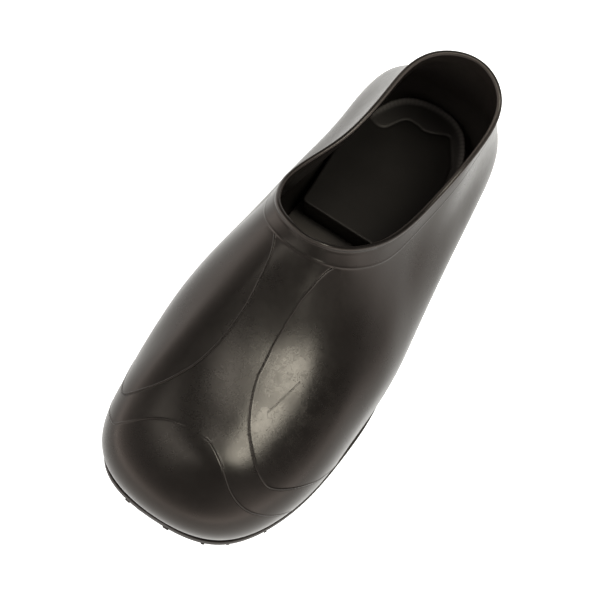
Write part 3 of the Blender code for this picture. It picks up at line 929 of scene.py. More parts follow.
@dataclass
class UpperShell:
    """The hollow upper: moulded lines, raised collar band, rolled bead and plain lining."""

    form: ShoeForm
    thickness: float = 2.4
    columns: int = 440
    wall_rows: int = 96
    band_rows: int = 14
    bead_rows: int = 17
    lining_rows: int = 30
    band_spacing: float = 1.25
    lining_spacing: float = 1.15
    wall_stop: float = 0.972
    edge_range: tuple[float, float] = (0.02, 0.0015)
    edge_rows: int = 7
    end_slack: float = 1e-6
    band_front: float = 7.6
    band_front_run: float = 0.16
    band_side: float = 10.4
    band_raise: float = 0.12
    band_edge: float = 0.4
    band_hairline: float = 0.18
    hairline_width: float = 0.45
    bead_radius: float = 1.6
    bead_out: float = -0.8
    bead_rise: float = 2.2
    bead_start: float = -58.0
    bead_stop: float = 180.0
    groove: float = 0.6
    groove_width: float = 0.6
    lip_below: float = 5.5
    lip: float = 0.4
    lip_width: float = 0.7
    foot_rise: float = 2.8
    foot_line: float = 0.22
    foot_width: float = 0.5
    foot_share: float = 0.04
    foot_rows: int = 18
    scratch_points: tuple[tuple[float, float], ...] = ((0.451, 0.705), (0.4355, 0.731), (0.419, 0.752))
    scuff_middle: tuple[float, float, float] = (22.0, -82.0, 75.0)
    scuff_reach: float = 50.0
    scuff_core: float = 0.35
    line_range: tuple[float, float] = (0.25, 0.75)
    line_reach: float = 2.6
    line_fade: float = 1.6
    rib_length: float = 140.0
    refine_reaches: tuple[float, float] = (2.8, 1.5)
    ripple_start: float = 0.05
    sharp: float = 50.0
    # Painted light inside the upper: a slight pale lift of the whole inside under the rim, and more deep down
    # towards the heel.
    inner_light_base: float = 0.1
    rim_range: tuple[float, float] = (2.8, 3.05)
    inner_light_depth: tuple[float, float] = (3.0, 3.5)
    heel_light_range: tuple[float, float] = (60.0, 115.0)
    # Painted highlight lines along the bead: place across the bead and strength of each, and their width.
    bead_highlights: tuple[tuple[float, float], ...] = ((0.26, 0.25), (0.70, 0.65))
    bead_highlight_width: float = 0.07
    hollows: tuple[Hollow, ...] = (
        Hollow(3.9, (7.3, -66.5), (24.0, 31.0)),
        Hollow(-2.1, (17.2, -131.0), (23.0, 12.2)),
    )
    ripples: tuple[Ripple, ...] = (
        Ripple(5.0, 1.1, 0.4, 0.10),
        Ripple(9.0, -1.7, 1.9, 0.06),
        Ripple(14.0, 2.6, 4.1, 0.035),
    )

    @property
    def bead_middle(self) -> float:
        """Return how far the bead's middle lies below the rim, less than 0 above it."""
        return self.bead_radius - self.bead_rise

    def band_below(self, u: Array) -> Array:
        """Return the band's width under the rim, narrower at the throat."""
        front = bell(np.abs(u - 0.5), self.band_front_run)
        return self.band_side + (self.band_front - self.band_side) * front

    def lines_lift(self, points: Array, normals: Array) -> tuple[Array, Array, Array]:
        """Measure the moulded lines at wall points.

        Args:
            points: Wall points.
            normals: Outward normals at those points.

        Returns:
            The height of the lines, the distance of the nearest one, positive on its raised side, and how
            clear that line is there.
        """
        lift = np.zeros(len(points))
        nearest = np.full(len(points), np.inf)
        clear = np.zeros(len(points))
        for line in (INNER_PANEL, OUTER_PANEL, TOE_CAP):
            far, share = line.reach(line.path(self.form), points, normals)
            strength = line.strength(share)
            lift += line.lift(far) * strength
            strength = strength * line.crispness
            closer = (share > 0.0) & (share < 1.0) & (np.abs(far) < np.abs(nearest))
            nearest = np.where(closer, far, nearest)
            clear = np.where(closer, strength, clear)
        return lift, nearest, clear

    def section(self, u: Array, w: Array) -> tuple[Array, Array]:
        """Turn parameters into a share of the rib and a distance off the wall, without the moulded lines.

        Args:
            u: Shares of the way round.
            w: Places along the section, a Zone plus a share of it.

        Returns:
            v, and the distance outwards along the wall's normal.
        """
        zone = np.minimum(np.floor(w), Zone.LINING)
        share = w - zone
        band = self.band_below(u)
        bead_low = self.bead_middle - self.bead_radius * math.sin(math.radians(self.bead_start))
        angle = np.radians(self.bead_start + (self.bead_stop - self.bead_start) * share)
        per_mm = 1.0 - self.form.rim_share(u, np.ones_like(u))
        below = np.select(
            [zone == Zone.WALL, zone == Zone.BAND, zone == Zone.BEAD],
            [
                (1.0 - share * (1.0 - band * per_mm)) / per_mm,
                band + (bead_low - band) * share,
                self.bead_middle - self.bead_radius * np.sin(angle),
            ],
            default=(1.0 - (1.0 - share) * (1.0 - self.bead_middle * per_mm)) / per_mm,
        )
        collar = self.band_raise * smooth(-self.band_edge, self.band_edge, band - below)
        collar = collar + self.band_hairline * bell(below - band, self.hairline_width)
        collar = collar - self.groove * bell(below - bead_low, self.groove_width)
        bead = self.bead_out + self.bead_radius * np.cos(angle)
        lining = -self.thickness - self.lip * bell(below - self.lip_below, self.lip_width)
        out = np.select([zone <= Zone.BAND, zone == Zone.BEAD], [collar, bead], default=lining)
        return np.maximum(1.0 - below * per_mm, 0.0), out

    def unevenness(self, u: Array, v: Array) -> Array:
        """Add up the long, shallow waves of the moulded wall.

        Args:
            u: Shares of the way round.
            v: Shares of the way up the ribs.

        Returns:
            Heights of the waves.
        """
        turn = 2.0 * math.pi
        return sum(
            wave.height * np.sin(turn * (wave.around * u + wave.up * v) + wave.phase) for wave in self.ripples
        )

    def sunk(self, points: Array) -> Array:
        """Return how far the top of the vamp lies under its plain form."""
        above = smooth(self.form.crown_low, self.form.crown_high, points[:, 2])
        return above * sum(hollow.depth_at(points) for hollow in self.hollows)

    def build(self) -> bpy.types.Object:
        """Build the upper.

        Returns:
            The upper as one closed mesh.
        """
        shape = self.sheet()
        refined(shape, self.line_distance, self.refine_reaches)
        mesh = bpy.data.meshes.new("upper_shell")
        shape.to_mesh(mesh)
        shape.free()
        u, w = self.parameters(mesh)
        v, out = self.section(u, w)
        plain = self.form.wall(u, v)
        normal = self.form.wall_normal(u, v)
        outside = w < Zone.BAND
        reach = self.line_reach
        lift, far, clear = np.zeros(len(u)), np.full(len(u), reach), np.zeros(len(u))
        lift[outside], far[outside], clear[outside] = self.lines_lift(plain[outside], normal[outside])
        under_band = smooth(0.0, self.line_fade, (1.0 - w) * self.rib_length) * outside
        lift *= under_band
        store(mesh, "line", np.clip(far, -reach, reach))
        store(mesh, "line_share", clear * under_band * (1.0 - smooth(0.5 * reach, reach, np.abs(far))))
        lift += self.unevenness(u, v) * smooth(0.0, self.ripple_start, v) - self.sunk(plain)
        foot = plain[:, 2] - self.form.seat_height(plain[:, 1]) - self.foot_rise
        lift += self.foot_line * bell(foot, self.foot_width) * outside
        places = plain + normal * (out + lift)[:, None]
        mesh.vertices.foreach_set("co", to_frame(places).astype(np.float32).ravel())
        self.mark(mesh, w, plain, normal)
        return shown("upper_shell", mesh, UPPER_RUBBER.material(), self.sharp)

    def sheet(self) -> bmesh.types.BMesh:
        """Lay out the parameters, u across and w along the section.

        Returns:
            The sheet, closed both ways.
        """
        foot = np.linspace(0.0, self.foot_share, self.foot_rows, endpoint=False)
        middle = np.linspace(self.foot_share, self.wall_stop, self.wall_rows)
        wall = np.concatenate([foot, middle, 1.0 - np.geomspace(*self.edge_range, self.edge_rows)])
        band = Zone.BAND + np.linspace(0.0, 1.0, self.band_rows, endpoint=False) ** self.band_spacing
        bead = Zone.BEAD + np.linspace(0.0, 1.0, self.bead_rows, endpoint=False)
        lining = Zone.LINING + np.linspace(0.0, 1.0, self.lining_rows) ** self.lining_spacing
        rows = np.concatenate([wall, band, bead, np.minimum(lining, Zone.END - self.end_slack)])
        across = np.arange(self.columns) / self.columns
        u, w = np.meshgrid(across, rows)
        faces = sheet_faces(self.columns, len(rows))
        last = (len(rows) - 1) * self.columns
        faces += joined(range(last, last + self.columns), range(self.columns))
        flat = bpy.data.meshes.new("upper_sheet")
        flat.from_pydata(np.column_stack([u.ravel(), w.ravel(), np.zeros(u.size)]).tolist(), [], faces)
        shape = bmesh.new()
        shape.from_mesh(flat)
        bpy.data.meshes.remove(flat)
        return shape

    @staticmethod
    def parameters(mesh: bpy.types.Mesh) -> tuple[Array, Array]:
        """Read the parameters that a sheet holds as places.

        Args:
            mesh: Sheet of parameters.

        Returns:
            u and w of each vertex.
        """
        held = np.empty(3 * len(mesh.vertices), dtype=np.float32)
        mesh.vertices.foreach_get("co", held)
        u, w, _ = held.reshape(-1, 3).astype(float).T
        return u, w

    def line_distance(self, held: Array) -> Array:
        """Measure how far parameters lie from the nearest moulded line.

        Args:
            held: Rows of u and w.

        Returns:
            Distances, without end where no line can be near.
        """
        far = np.full(len(held), np.inf)
        low, high = self.line_range
        outside = (held[:, 1] < Zone.BAND) & (held[:, 0] > low) & (held[:, 0] < high)
        u, w = held[outside, 0], held[outside, 1]
        v, _ = self.section(u, w)
        _, near, _ = self.lines_lift(self.form.wall(u, v), self.form.wall_normal(u, v))
        far[outside] = np.abs(near)
        return far

    def mark(self, mesh: bpy.types.Mesh, w: Array, points: Array, normals: Array) -> None:
        """Store what the finish reads: lining share, which also carries painted light and painted highlights,
        scratch and worn toe.

        Args:
            mesh: Mesh of the upper.
            w: Place of each vertex along the section.
            points: Plain wall points of the vertices.
            normals: Wall normals of the vertices.
        """
        # Painted light: the lining share makes the inside rougher and paler, a little everywhere under the
        # rim and more deep down towards the heel.
        under_rim = smooth(*self.rim_range, w)
        heel_light = smooth(*self.inner_light_depth, w) * smooth(*self.heel_light_range, points[:, 1])
        # Painted highlight: two pale lines along the bead, carried by the lining share.
        painted_highlight = sum(share * bell(w - Zone.BEAD - at, self.bead_highlight_width) for at, share in self.bead_highlights)
        store(mesh, "lining", under_rim * (self.inner_light_base + (1.0 - self.inner_light_base) * heel_light) + painted_highlight)
        scratch = MouldLine(points=self.scratch_points)
        far, share = scratch.reach(scratch.path(self.form), points, normals)
        clear = (share <= 0.0) | (share >= 1.0) | (w > Zone.BAND)
        store(mesh, "scratch", np.where(clear, UNMARKED, far))
        away = np.linalg.norm(points - np.array(self.scuff_middle), axis=1)
        worn = 1.0 - smooth(self.scuff_core * self.scuff_reach, self.scuff_reach, away)
        store(mesh, "toe_scuff", worn * (w < Zone.BAND))

    def dress(self) -> bpy.types.Object:
        """Build the upper and put it in its node's place.

        Returns:
            The upper.
        """
        piece = self.build()
        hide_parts("upper")
        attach(piece, BODY)
        return piece


@dataclass
class Block:
    """A tread block: its middle, its length, width and height, and its direction in plan."""

    middle: Vector
    size: Vector
    along: Vector


@dataclass
class Outsole:
    """The outsole: plate with a lip round the upper, inner floor, lugs, bars and waist ribs."""

    form: ShoeForm
    columns: int = 440
    gap: float = 0.3
    lip: float = 1.8
    toe_lip: float = 3.8
    toe_lip_at: float = 0.52
    toe_lip_run: float = 0.09
    rounding: float = 0.8
    round_angles: tuple[float, ...] = (0.0, 30.0, 60.0, 90.0)
    plug_height: float = 3.0
    plug_inset: float = 3.1
    edge_lugs: int = 42
    lug_share: float = 0.52
    lug_depth: float = 14.0
    lug_wide_at: float = 0.3
    lug_reach: float = -0.7
    root: float = 1.3
    clear: float = 0.05
    flash_count: int = 22
    flash_range: tuple[float, float] = (0.395, 0.585)
    flash_length: tuple[float, float] = (1.2, 4.5)
    flash_reach: tuple[float, float] = (-1.0, 0.5)
    flash_height: float = 1.1
    flash_depth: float = 3.6
    flash_seed: int = 11
    bar_pitch: float = 19.5
    bar_width: float = 8.5
    bar_slant: float = 5.0
    bar_middle_gap: float = 3.0
    bar_side_gap: float = 4.0
    bar_ranges: tuple[tuple[float, float], ...] = ((-122.0, -22.0), (76.0, 117.0))
    rib_range: tuple[float, float] = (-6.0, 66.0)
    rib_pitch: float = 6.0
    rib_width: float = 2.2
    rib_height: float = 1.4
    crease: float = 0.82
    block_level: int = 3
    slope_step: float = 0.5
    plan_samples: int = 1441
    plate_sharp: float = 38.0
    block_sharp: float = 45.0
    # Painted shade: the inner floor darkens towards the pad's front edge over this range of y.
    pad_front_shade: float = 0.8
    pad_front_shade_range: tuple[float, float] = (26.0, 52.0)

    def upper_face(self, y: Array) -> Array:
        """Return the height of the plate's upper face."""
        return self.form.seat_height(y) - self.gap

    def profile(self) -> list[tuple[float, Callable[[Array], Array], float]]:
        """Work out the section of the plate's edge, from the tread round the lip to the inner floor.

        Returns:
            For each row, the distance outwards, the face that heights are taken from, and the height.
        """
        angles = np.radians(self.round_angles)
        sunk = self.rounding * (1.0 - np.sin(angles))
        turned = self.rounding * (1.0 - np.cos(angles))
        inset, height = self.plug_inset, self.plug_height
        rows = [(self.lip - low, self.form.tread, side) for low, side in zip(sunk, turned)]
        rows += [(self.lip - side, self.upper_face, -low) for low, side in zip(sunk, turned)]
        rows += [(-inset, self.upper_face, 0.0), (-inset, self.upper_face, height - self.rounding)]
        rows += [(-inset - side, self.upper_face, height - low) for low, side in zip(sunk[1:], turned[1:])]
        return rows

    def plate(self) -> bpy.types.Object:
        """Build the plate.

        Returns:
            The plate without its lugs.
        """
        u = np.arange(self.columns) / self.columns
        loops = []
        for out, face, rise in self.profile():
            plan, _ = self.form.seat_line(u, out + self.toe_reach(u) * (out > 0.0))
            loops.append(np.column_stack([plan, face(plan[:, 1]) + rise]))
        faces = sheet_faces(self.columns, len(loops))
        last = (len(loops) - 1) * self.columns
        faces += ladder(range(self.columns)) + ladder(range(last, last + self.columns))
        mesh = bpy.data.meshes.new("outsole_plate")
        mesh.from_pydata(to_frame(np.vstack(loops)).tolist(), [], faces)
        # Painted light on the inner floor, pale towards the front, with painted shade darkening it towards
        # the pad's front edge.
        inner = np.repeat([out <= -self.plug_inset for out, _, _ in self.profile()], self.columns)
        y = np.concatenate([loop[:, 1] for loop in loops])
        store(mesh, "lining", inner * (1.0 - self.pad_front_shade * smooth(*self.pad_front_shade_range, y)))
        return shown("outsole_plate", mesh, SOLE_RUBBER.material(), self.plate_sharp)

    def block(self, corners: Array, width: float, height: float) -> Block:
        """Place a block with its foot on the lugs' lower faces.

        Args:
            corners: Plan points of the two ends of its middle line.
            width: Width across that line.
            height: Height of the block.

        Returns:
            The block.
        """
        middle = corners.mean(0)
        along = corners[1] - corners[0]
        base = float(self.form.tread(middle[1])) + self.root - 0.5 * height + self.clear
        length = float(np.linalg.norm(along))
        return Block(Vector((*middle, base)), Vector((length, width, height)), Vector((*along, 0.0)))

    def side_reach(self, y: float) -> tuple[float, float]:
        """Measure how far the seat line reaches to each side.

        Args:
            y: Place along the shoe.

        Returns:
            x on the outer and on the inner side.
        """
        plan, _ = self.form.seat_line(np.linspace(0.0, 1.0, self.plan_samples))
        half = len(plan) // 2
        outer, inner = plan[: half + 1], plan[half:]
        return np.interp(-y, -outer[:, 1], outer[:, 0]), np.interp(y, inner[:, 1], inner[:, 0])

    def toe_reach(self, u: Array) -> Array:
        """Return how much further the lip reaches round the toe."""
        return self.toe_lip * bell(u - self.toe_lip_at, self.toe_lip_run)

    def flash_blocks(self) -> list[Block]:
        """Place ragged bits of moulding flash along the toe's lower edge.

        Returns:
            The bits.
        """
        draw = np.random.default_rng(self.flash_seed)
        blocks = []
        for u in np.sort(draw.uniform(*self.flash_range, self.flash_count)):
            reach = self.lip + float(self.toe_reach(u)) + draw.uniform(*self.flash_reach)
            ends, _ = self.form.seat_line(np.array([u, u]), np.array([reach, reach - self.flash_depth]))
            bit = self.block(ends, draw.uniform(*self.flash_length), self.flash_height)
            bit.middle.z -= self.root - 0.5 * self.flash_height
            blocks.append(bit)
        return blocks

    def lug_blocks(self) -> list[Block]:
        """Place the lugs round the edge.

        Returns:
            The lugs.
        """
        blocks = []
        outside = self.lip + self.lug_reach
        half = 0.5 * self.lug_share / self.edge_lugs
        for u in (np.arange(self.edge_lugs) + 0.5) / self.edge_lugs:
            ends, _ = self.form.seat_line(np.array([u, u]), np.array([outside, outside - self.lug_depth]))
            wide_at = outside - self.lug_wide_at * self.lug_depth
            sides, _ = self.form.seat_line(np.array([u - half, u + half]), wide_at)
            width = float(np.linalg.norm(sides[1] - sides[0]))
            blocks.append(self.block(ends, width, self.form.lug_height + self.root))
        return blocks

    def bar_blocks(self) -> list[Block]:
        """Place the slanted bars across the forefoot and the heel.

        Returns:
            The bars.
        """
        blocks = []
        taken = self.lug_depth - self.lip + self.bar_side_gap
        for low, high in self.bar_ranges:
            for y in np.arange(low, high, self.bar_pitch):
                outer, inner = self.side_reach(y)
                middle = 0.5 * (outer + inner)
                for side, edge in ((1.0, outer - taken), (-1.0, inner + taken)):
                    ends = np.array([(middle + side * self.bar_middle_gap, y), (edge, y + self.bar_slant)])
                    blocks.append(self.block(ends, self.bar_width, self.form.lug_height + self.root))
        return blocks

    def rib_blocks(self) -> list[Block]:
        """Place the low ribs across the waist.

        Returns:
            The ribs.
        """
        blocks = []
        taken = self.lug_depth + self.bar_side_gap
        for y in np.arange(*self.rib_range, self.rib_pitch):
            outer, inner = self.side_reach(y)
            ends = np.array([(inner + taken, y), (outer - taken, y)])
            blocks.append(self.block(ends, self.rib_width, self.rib_height + self.root))
        return blocks

    def block_points(self, blocks: list[Block]) -> bpy.types.Object:
        """Give each block a vertex that holds its turn and its size.

        Args:
            blocks: Blocks of the tread.

        Returns:
            An object of bare vertices.
        """
        mesh = bpy.data.meshes.new("tread_blocks")
        mesh.from_pydata([to_frame(np.array(block.middle)).tolist() for block in blocks], [], [])
        turns, sizes = [], []
        for block in blocks:
            y, step = block.middle.y, self.slope_step
            slope = float(self.form.ground(y + step) - self.form.ground(y - step)) / (2.0 * step)
            up = Vector((0.0, -slope, 1.0)).normalized()
            along = (block.along - up * block.along.dot(up)).normalized()
            axes = Matrix((along, up.cross(along), up)).transposed()
            turns += list(axes.to_euler())
            sizes += list(block.size * MM)
        for name, numbers in (("turn", turns), ("size", sizes)):
            layer = mesh.attributes.new(name, "FLOAT_VECTOR", "POINT")
            layer.data.foreach_set("vector", np.array(numbers, dtype=np.float32))
        points = bpy.data.objects.new("tread_blocks", mesh)
        bpy.context.scene.collection.objects.link(points)
        return points

    def block_tree(self) -> bpy.types.NodeTree:
        """Lay out the Geometry Nodes that put a rounded block on each point.

        Returns:
            The node tree.
        """
        tree = bpy.data.node_groups.new("tread_block_tree", "GeometryNodeTree")
        sides = tree.interface
        sides.new_socket("Points", in_out="INPUT", socket_type="NodeSocketGeometry")
        sides.new_socket("Crease", in_out="INPUT", socket_type="NodeSocketFloat")
        sides.new_socket("Finish", in_out="INPUT", socket_type="NodeSocketMaterial")
        sides.new_socket("Blocks", in_out="OUTPUT", socket_type="NodeSocketGeometry")
        graph = Graph(tree)
        given = graph.add("NodeGroupInput").outputs
        vector: Settings = {"data_type": "FLOAT_VECTOR"}
        turn = graph.add("GeometryNodeInputNamedAttribute", vector, {"Name": "turn"}).outputs["Attribute"]
        size = graph.add("GeometryNodeInputNamedAttribute", vector, {"Name": "size"}).outputs["Attribute"]
        rotation = graph.add("FunctionNodeEulerToRotation", None, {"Euler": turn}).outputs["Rotation"]
        cube = graph.add("GeometryNodeMeshCube", None, {"Size": (1.0, 1.0, 1.0)}).outputs["Mesh"]
        rounding: Sockets = {"Mesh": cube, "Level": self.block_level, "Edge Crease": given["Crease"]}
        lug = graph.add("GeometryNodeSubdivisionSurface", None, rounding).outputs["Mesh"]
        spread: Sockets = {"Points": given["Points"], "Instance": lug, "Rotation": rotation, "Scale": size}
        placed = graph.add("GeometryNodeInstanceOnPoints", None, spread).outputs["Instances"]
        real = graph.add("GeometryNodeRealizeInstances", None, {"Geometry": placed}).outputs["Geometry"]
        painted = graph.add("GeometryNodeSetMaterial", None, {"Geometry": real, "Material": given["Finish"]})
        graph.add("NodeGroupOutput", None, {"Blocks": painted.outputs["Geometry"]})
        return tree

    def blocks(self, finish: bpy.types.Material) -> bpy.types.Object:
        """Build the tread.

        Args:
            finish: Rubber of the plate.

        Returns:
            Every tread block as one mesh.
        """
        bits = self.flash_blocks()
        points = self.block_points(self.lug_blocks() + self.bar_blocks() + self.rib_blocks() + bits)
        tree = self.block_tree()
        spread = points.modifiers.new("blocks", "NODES")
        spread.node_group = tree
        given = {item.name: item.identifier for item in tree.interface.items_tree if item.in_out == "INPUT"}
        spread[given["Crease"]] = self.crease
        spread[given["Finish"]] = finish
        bpy.context.view_layer.update()
        mesh = bpy.data.meshes.new_from_object(points.evaluated_get(bpy.context.evaluated_depsgraph_get()))
        bpy.data.objects.remove(points, do_unlink=True)
        return shown("tread_block_set", mesh, finish, self.block_sharp)

    def dress(self) -> list[bpy.types.Object]:
        """Build the plate and its tread, and put them in their node's place.

        Returns:
            The plate and the tread.
        """
        plate = self.plate()
        blocks = self.blocks(plate.data.materials[0])
        for piece in (plate, blocks):
            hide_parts("outsole")
            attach(piece, BODY)
        return [plate, blocks]


@dataclass
class HeelPad:
    """The raised pad on the inner floor: flat top, rounded edges, and a raised rim at the back."""

    ring: tuple[tuple[float, float], ...] = (
        (-6.5, 155.5), (14.0, 150.5), (24.5, 136.0), (33.0, 95.0), (37.0, 55.0), (34.0, 20.0),
        (-36.0, 20.0), (-40.0, 50.0), (-42.0, 90.0), (-37.5, 128.0), (-25.5, 149.0),
    )
    front: float = 48.5
    foot: float = 12.5
    top: float = 28.7
    foot_inset: float = 2.0
    edge: float = 1.1
    round_angles: tuple[float, ...] = (22.5, 45.0, 67.5, 90.0)
    side_shares: tuple[float, ...] = (0.25, 0.5, 0.75, 1.0)
    crown_power: float = 0.5
    corner_passes: int = 10
    outline_samples: int = 2881
    rim_stride: int = 3
    side_steps: int = 260
    front_steps: int = 76
    top_rows: int = 64
    top_start: float = 0.02
    sharp: float = 60.0
    tab_points: tuple[tuple[float, float], ...] = (
        (-46.0, 126.0), (-36.5, 123.0), (-30.5, 121.0), (-25.5, 122.5), (-22.5, 127.5), (-20.0, 132.5),
        (-16.5, 136.0), (-10.0, 136.5), (-5.0, 135.5), (0.0, 137.0), (4.5, 139.5), (8.5, 141.5),
        (11.5, 140.5), (14.5, 135.5), (20.5, 126.0), (24.0, 114.0), (27.0, 100.0), (36.0, 90.0),
    )
    tab_samples: int = 400
    tab_height: float = 0.35
    tab_half_width: float = 0.9
    crevice: float = 0.55
    crevice_width: float = 0.5
    ridge: float = 1.9
    ridge_reach: float = 5.5
    ridge_range: tuple[float, float] = (122.0, 140.0)
    # Painted highlight along the back ridge, and a fainter one on the tab.
    highlight_inset: float = 2.0
    highlight_reach: float = 2.0
    highlight_range: tuple[float, float] = (100.0, 140.0)
    tab_highlight: float = 0.2

    def outline(self, inset: float) -> Array:
        """Draw the pad in plan, straight across the front, with softened corners.

        Args:
            inset: Distance inwards from the pad's widest line.

        Returns:
            Points of the closed outline.
        """
        rows = np.array(self.ring)
        steps = np.hypot(*np.diff(np.vstack([rows, rows[:1]]), axis=0).T)
        places = np.concatenate([[0.0], np.cumsum(steps)[:-1]]) / steps.sum()
        plan, _ = plan_offset(rows, places, np.linspace(-0.5, 0.5, self.outline_samples), -inset)
        behind = plan[plan[:, 1] > self.front + inset]
        run = np.concatenate([[0.0], np.cumsum(np.hypot(*np.diff(behind, axis=0).T))])
        at = np.linspace(0.0, run[-1], self.side_steps)
        side = np.column_stack([np.interp(at, run, behind[:, 0]), np.interp(at, run, behind[:, 1])])
        share = np.linspace(0.0, 1.0, self.front_steps + 2)[1:-1, None]
        loop = np.vstack([side, side[-1] + (side[0] - side[-1]) * share])
        for _ in range(self.corner_passes):
            loop = 0.5 * loop + 0.25 * (np.roll(loop, 1, axis=0) + np.roll(loop, -1, axis=0))
        return loop

    def tab_distance(self, plan: Array) -> Array:
        """Measure how far plan points lie from the tab's line.

        Args:
            plan: Plan points.

        Returns:
            Distances, positive on the tab.
        """
        line = through(self.tab_points, self.tab_samples)
        gap = plan[:, None, :] - line[None, :, :]
        nearest = (gap**2).sum(-1).argmin(1)
        run = np.gradient(line, axis=0)[nearest]
        offset = gap[np.arange(len(plan)), nearest]
        return np.sign(run[:, 0] * offset[:, 1] - run[:, 1] * offset[:, 0]) * np.hypot(*offset.T)

    def edge_distance(self, plan: Array, inset: float) -> Array:
        """Return how far plan points lie from the outline at an inset."""
        rim = self.outline(inset)[:: self.rim_stride]
        return np.sqrt(((plan[:, None, :] - rim[None, :, :]) ** 2).sum(-1).min(1))

    def relief(self, plan: Array) -> Array:
        """Shape the top: a thin tab behind a wavy line, and a ridge along the back edge.

        Args:
            plan: Plan points on the top.

        Returns:
            Heights over the flat top.
        """
        far = self.tab_distance(plan)
        tab = self.tab_height * smooth(-self.tab_half_width, self.tab_half_width, far)
        tab = tab - self.crevice * bell(far, self.crevice_width)
        edge = self.edge_distance(plan, 0.0)
        back = smooth(*self.ridge_range, plan[:, 1])
        return tab + self.ridge * back * (1.0 - smooth(0.0, self.ridge_reach, edge))

    def painted_highlight(self, points: Array) -> Array:
        """Work out where the pad gets its painted highlight, most along the ridge.

        Args:
            points: Points of the pad.

        Returns:
            How much painted highlight each point gets.
        """
        plan = points[:, :2]
        edge = self.edge_distance(plan, self.highlight_inset)
        ridge = smooth(*self.highlight_range, plan[:, 1]) * bell(edge, self.highlight_reach)
        tab = smooth(-self.tab_half_width, self.tab_half_width, self.tab_distance(plan))
        return np.maximum(ridge * (points[:, 2] > self.top), self.tab_highlight * tab)

    def build(self) -> bpy.types.Object:
        """Build the pad.

        Returns:
            The pad as one closed mesh.
        """
        rim = self.outline(self.edge)
        middle = 0.5 * (rim.min(0) + rim.max(0))
        loops = []
        for share in np.linspace(self.top_start, 1.0, self.top_rows):
            plan = middle + (rim - middle) * share
            loops.append(np.column_stack([plan, self.top + self.relief(plan)]))
        crown = self.relief(rim)
        for angle in np.radians(self.round_angles):
            plan = self.outline(self.edge * (1.0 - math.sin(angle)))
            drop = self.edge * (1.0 - math.cos(angle))
            height = self.top + crown * math.cos(angle) ** self.crown_power - drop
            loops.append(np.column_stack([plan, height]))
        below = self.top - self.edge
        for share in self.side_shares:
            plan = self.outline(self.foot_inset * share)
            loops.append(np.column_stack([plan, np.full(len(plan), below + (self.foot - below) * share)]))
        count = len(rim)
        faces = sheet_faces(count, len(loops))
        last = (len(loops) - 1) * count
        faces += [tuple(range(count)), tuple(range(last, last + count))]
        mesh = bpy.data.meshes.new("heel_pad_body")
        mesh.from_pydata(to_frame(np.vstack(loops)).tolist(), [], faces)
        # The lining share of the pad is its painted highlight.
        store(mesh, "lining", np.concatenate([self.painted_highlight(loop) for loop in loops]))
        return shown("heel_pad_body", mesh, PAD_RUBBER.material(), self.sharp)

    def dress(self) -> bpy.types.Object:
        """Build the pad and put it in its node's place.

        Returns:
            The pad.
        """
        piece = self.build()
        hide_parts("heel_pad")
        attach(piece, BODY)
        return piece


@dataclass
class HeelStrip:
    """The kick-off strip up the back of the heel, pillowed at its edges."""

    form: ShoeForm
    foot: float = 0.017
    head: float = 0.011
    low: float = 0.012
    high: float = 0.66
    gap: float = 0.5
    thick: float = 3.2
    head_thick: float = 0.9
    taper_power: float = 0.7
    thick_power: float = 2.0
    edge: float = 2.4
    edge_thick: float = 0.15
    columns: int = 48
    rows: int = 90
    sharp: float = 60.0

    def build(self) -> bpy.types.Object:
        """Build the strip.

        Returns:
            The strip as one closed mesh.
        """
        across, up = np.meshgrid(np.linspace(-1.0, 1.0, self.columns), np.linspace(0.0, 1.0, self.rows))
        u = across * (self.foot + (self.head - self.foot) * up**self.taper_power)
        v = self.low + (self.high - self.low) * up
        near = self.form.off_wall(u, v, np.full_like(u, self.gap))
        centre = near[:, self.columns // 2 - 1: self.columns // 2 + 1].mean(1)
        side = np.minimum(
            np.linalg.norm(near - near[:, :1], axis=-1), np.linalg.norm(near - near[:, -1:], axis=-1)
        )
        climb = np.concatenate([[0.0], np.cumsum(np.linalg.norm(np.diff(centre, axis=0), axis=1))])
        end = np.minimum(climb, climb[-1] - climb)[:, None]
        inwards = np.clip(np.minimum(side, end) / self.edge, 0.0, 1.0)
        pillow = np.sqrt(1.0 - (1.0 - inwards) ** 2)
        thick = self.thick + (self.head_thick - self.thick) * up**self.thick_power
        far = self.form.off_wall(u, v, self.gap + self.edge_thick + thick * pillow)
        points = np.vstack([near.reshape(-1, 3), far.reshape(-1, 3)])
        grid = np.arange(self.rows * self.columns).reshape(self.rows, self.columns)
        quads = np.stack([grid[:-1, :-1], grid[:-1, 1:], grid[1:, 1:], grid[1:, :-1]], axis=-1).reshape(-1, 4)
        border = np.concatenate([grid[0, :-1], grid[:-1, -1], grid[-1, :0:-1], grid[:0:-1, 0]])
        faces = quads.tolist() + (quads[:, ::-1] + grid.size).tolist()
        faces += joined(border.tolist(), (border + grid.size).tolist())
        mesh = bpy.data.meshes.new("heel_strip")
        mesh.from_pydata(to_frame(points).tolist(), [], faces)
        store(mesh, "scratch", np.full(len(points), UNMARKED))
        for name in ("lining", "toe_scuff", "line_share"):
            store(mesh, name, np.zeros(len(points)))
        return shown("heel_strip", mesh, STRIP_RUBBER.material(), self.sharp)

    def dress(self) -> bpy.types.Object:
        """Build the strip and put it in its node's place.

        Returns:
            The strip.
        """
        piece = self.build()
        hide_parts("heel_counter")
        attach(piece, BODY)
        return piece


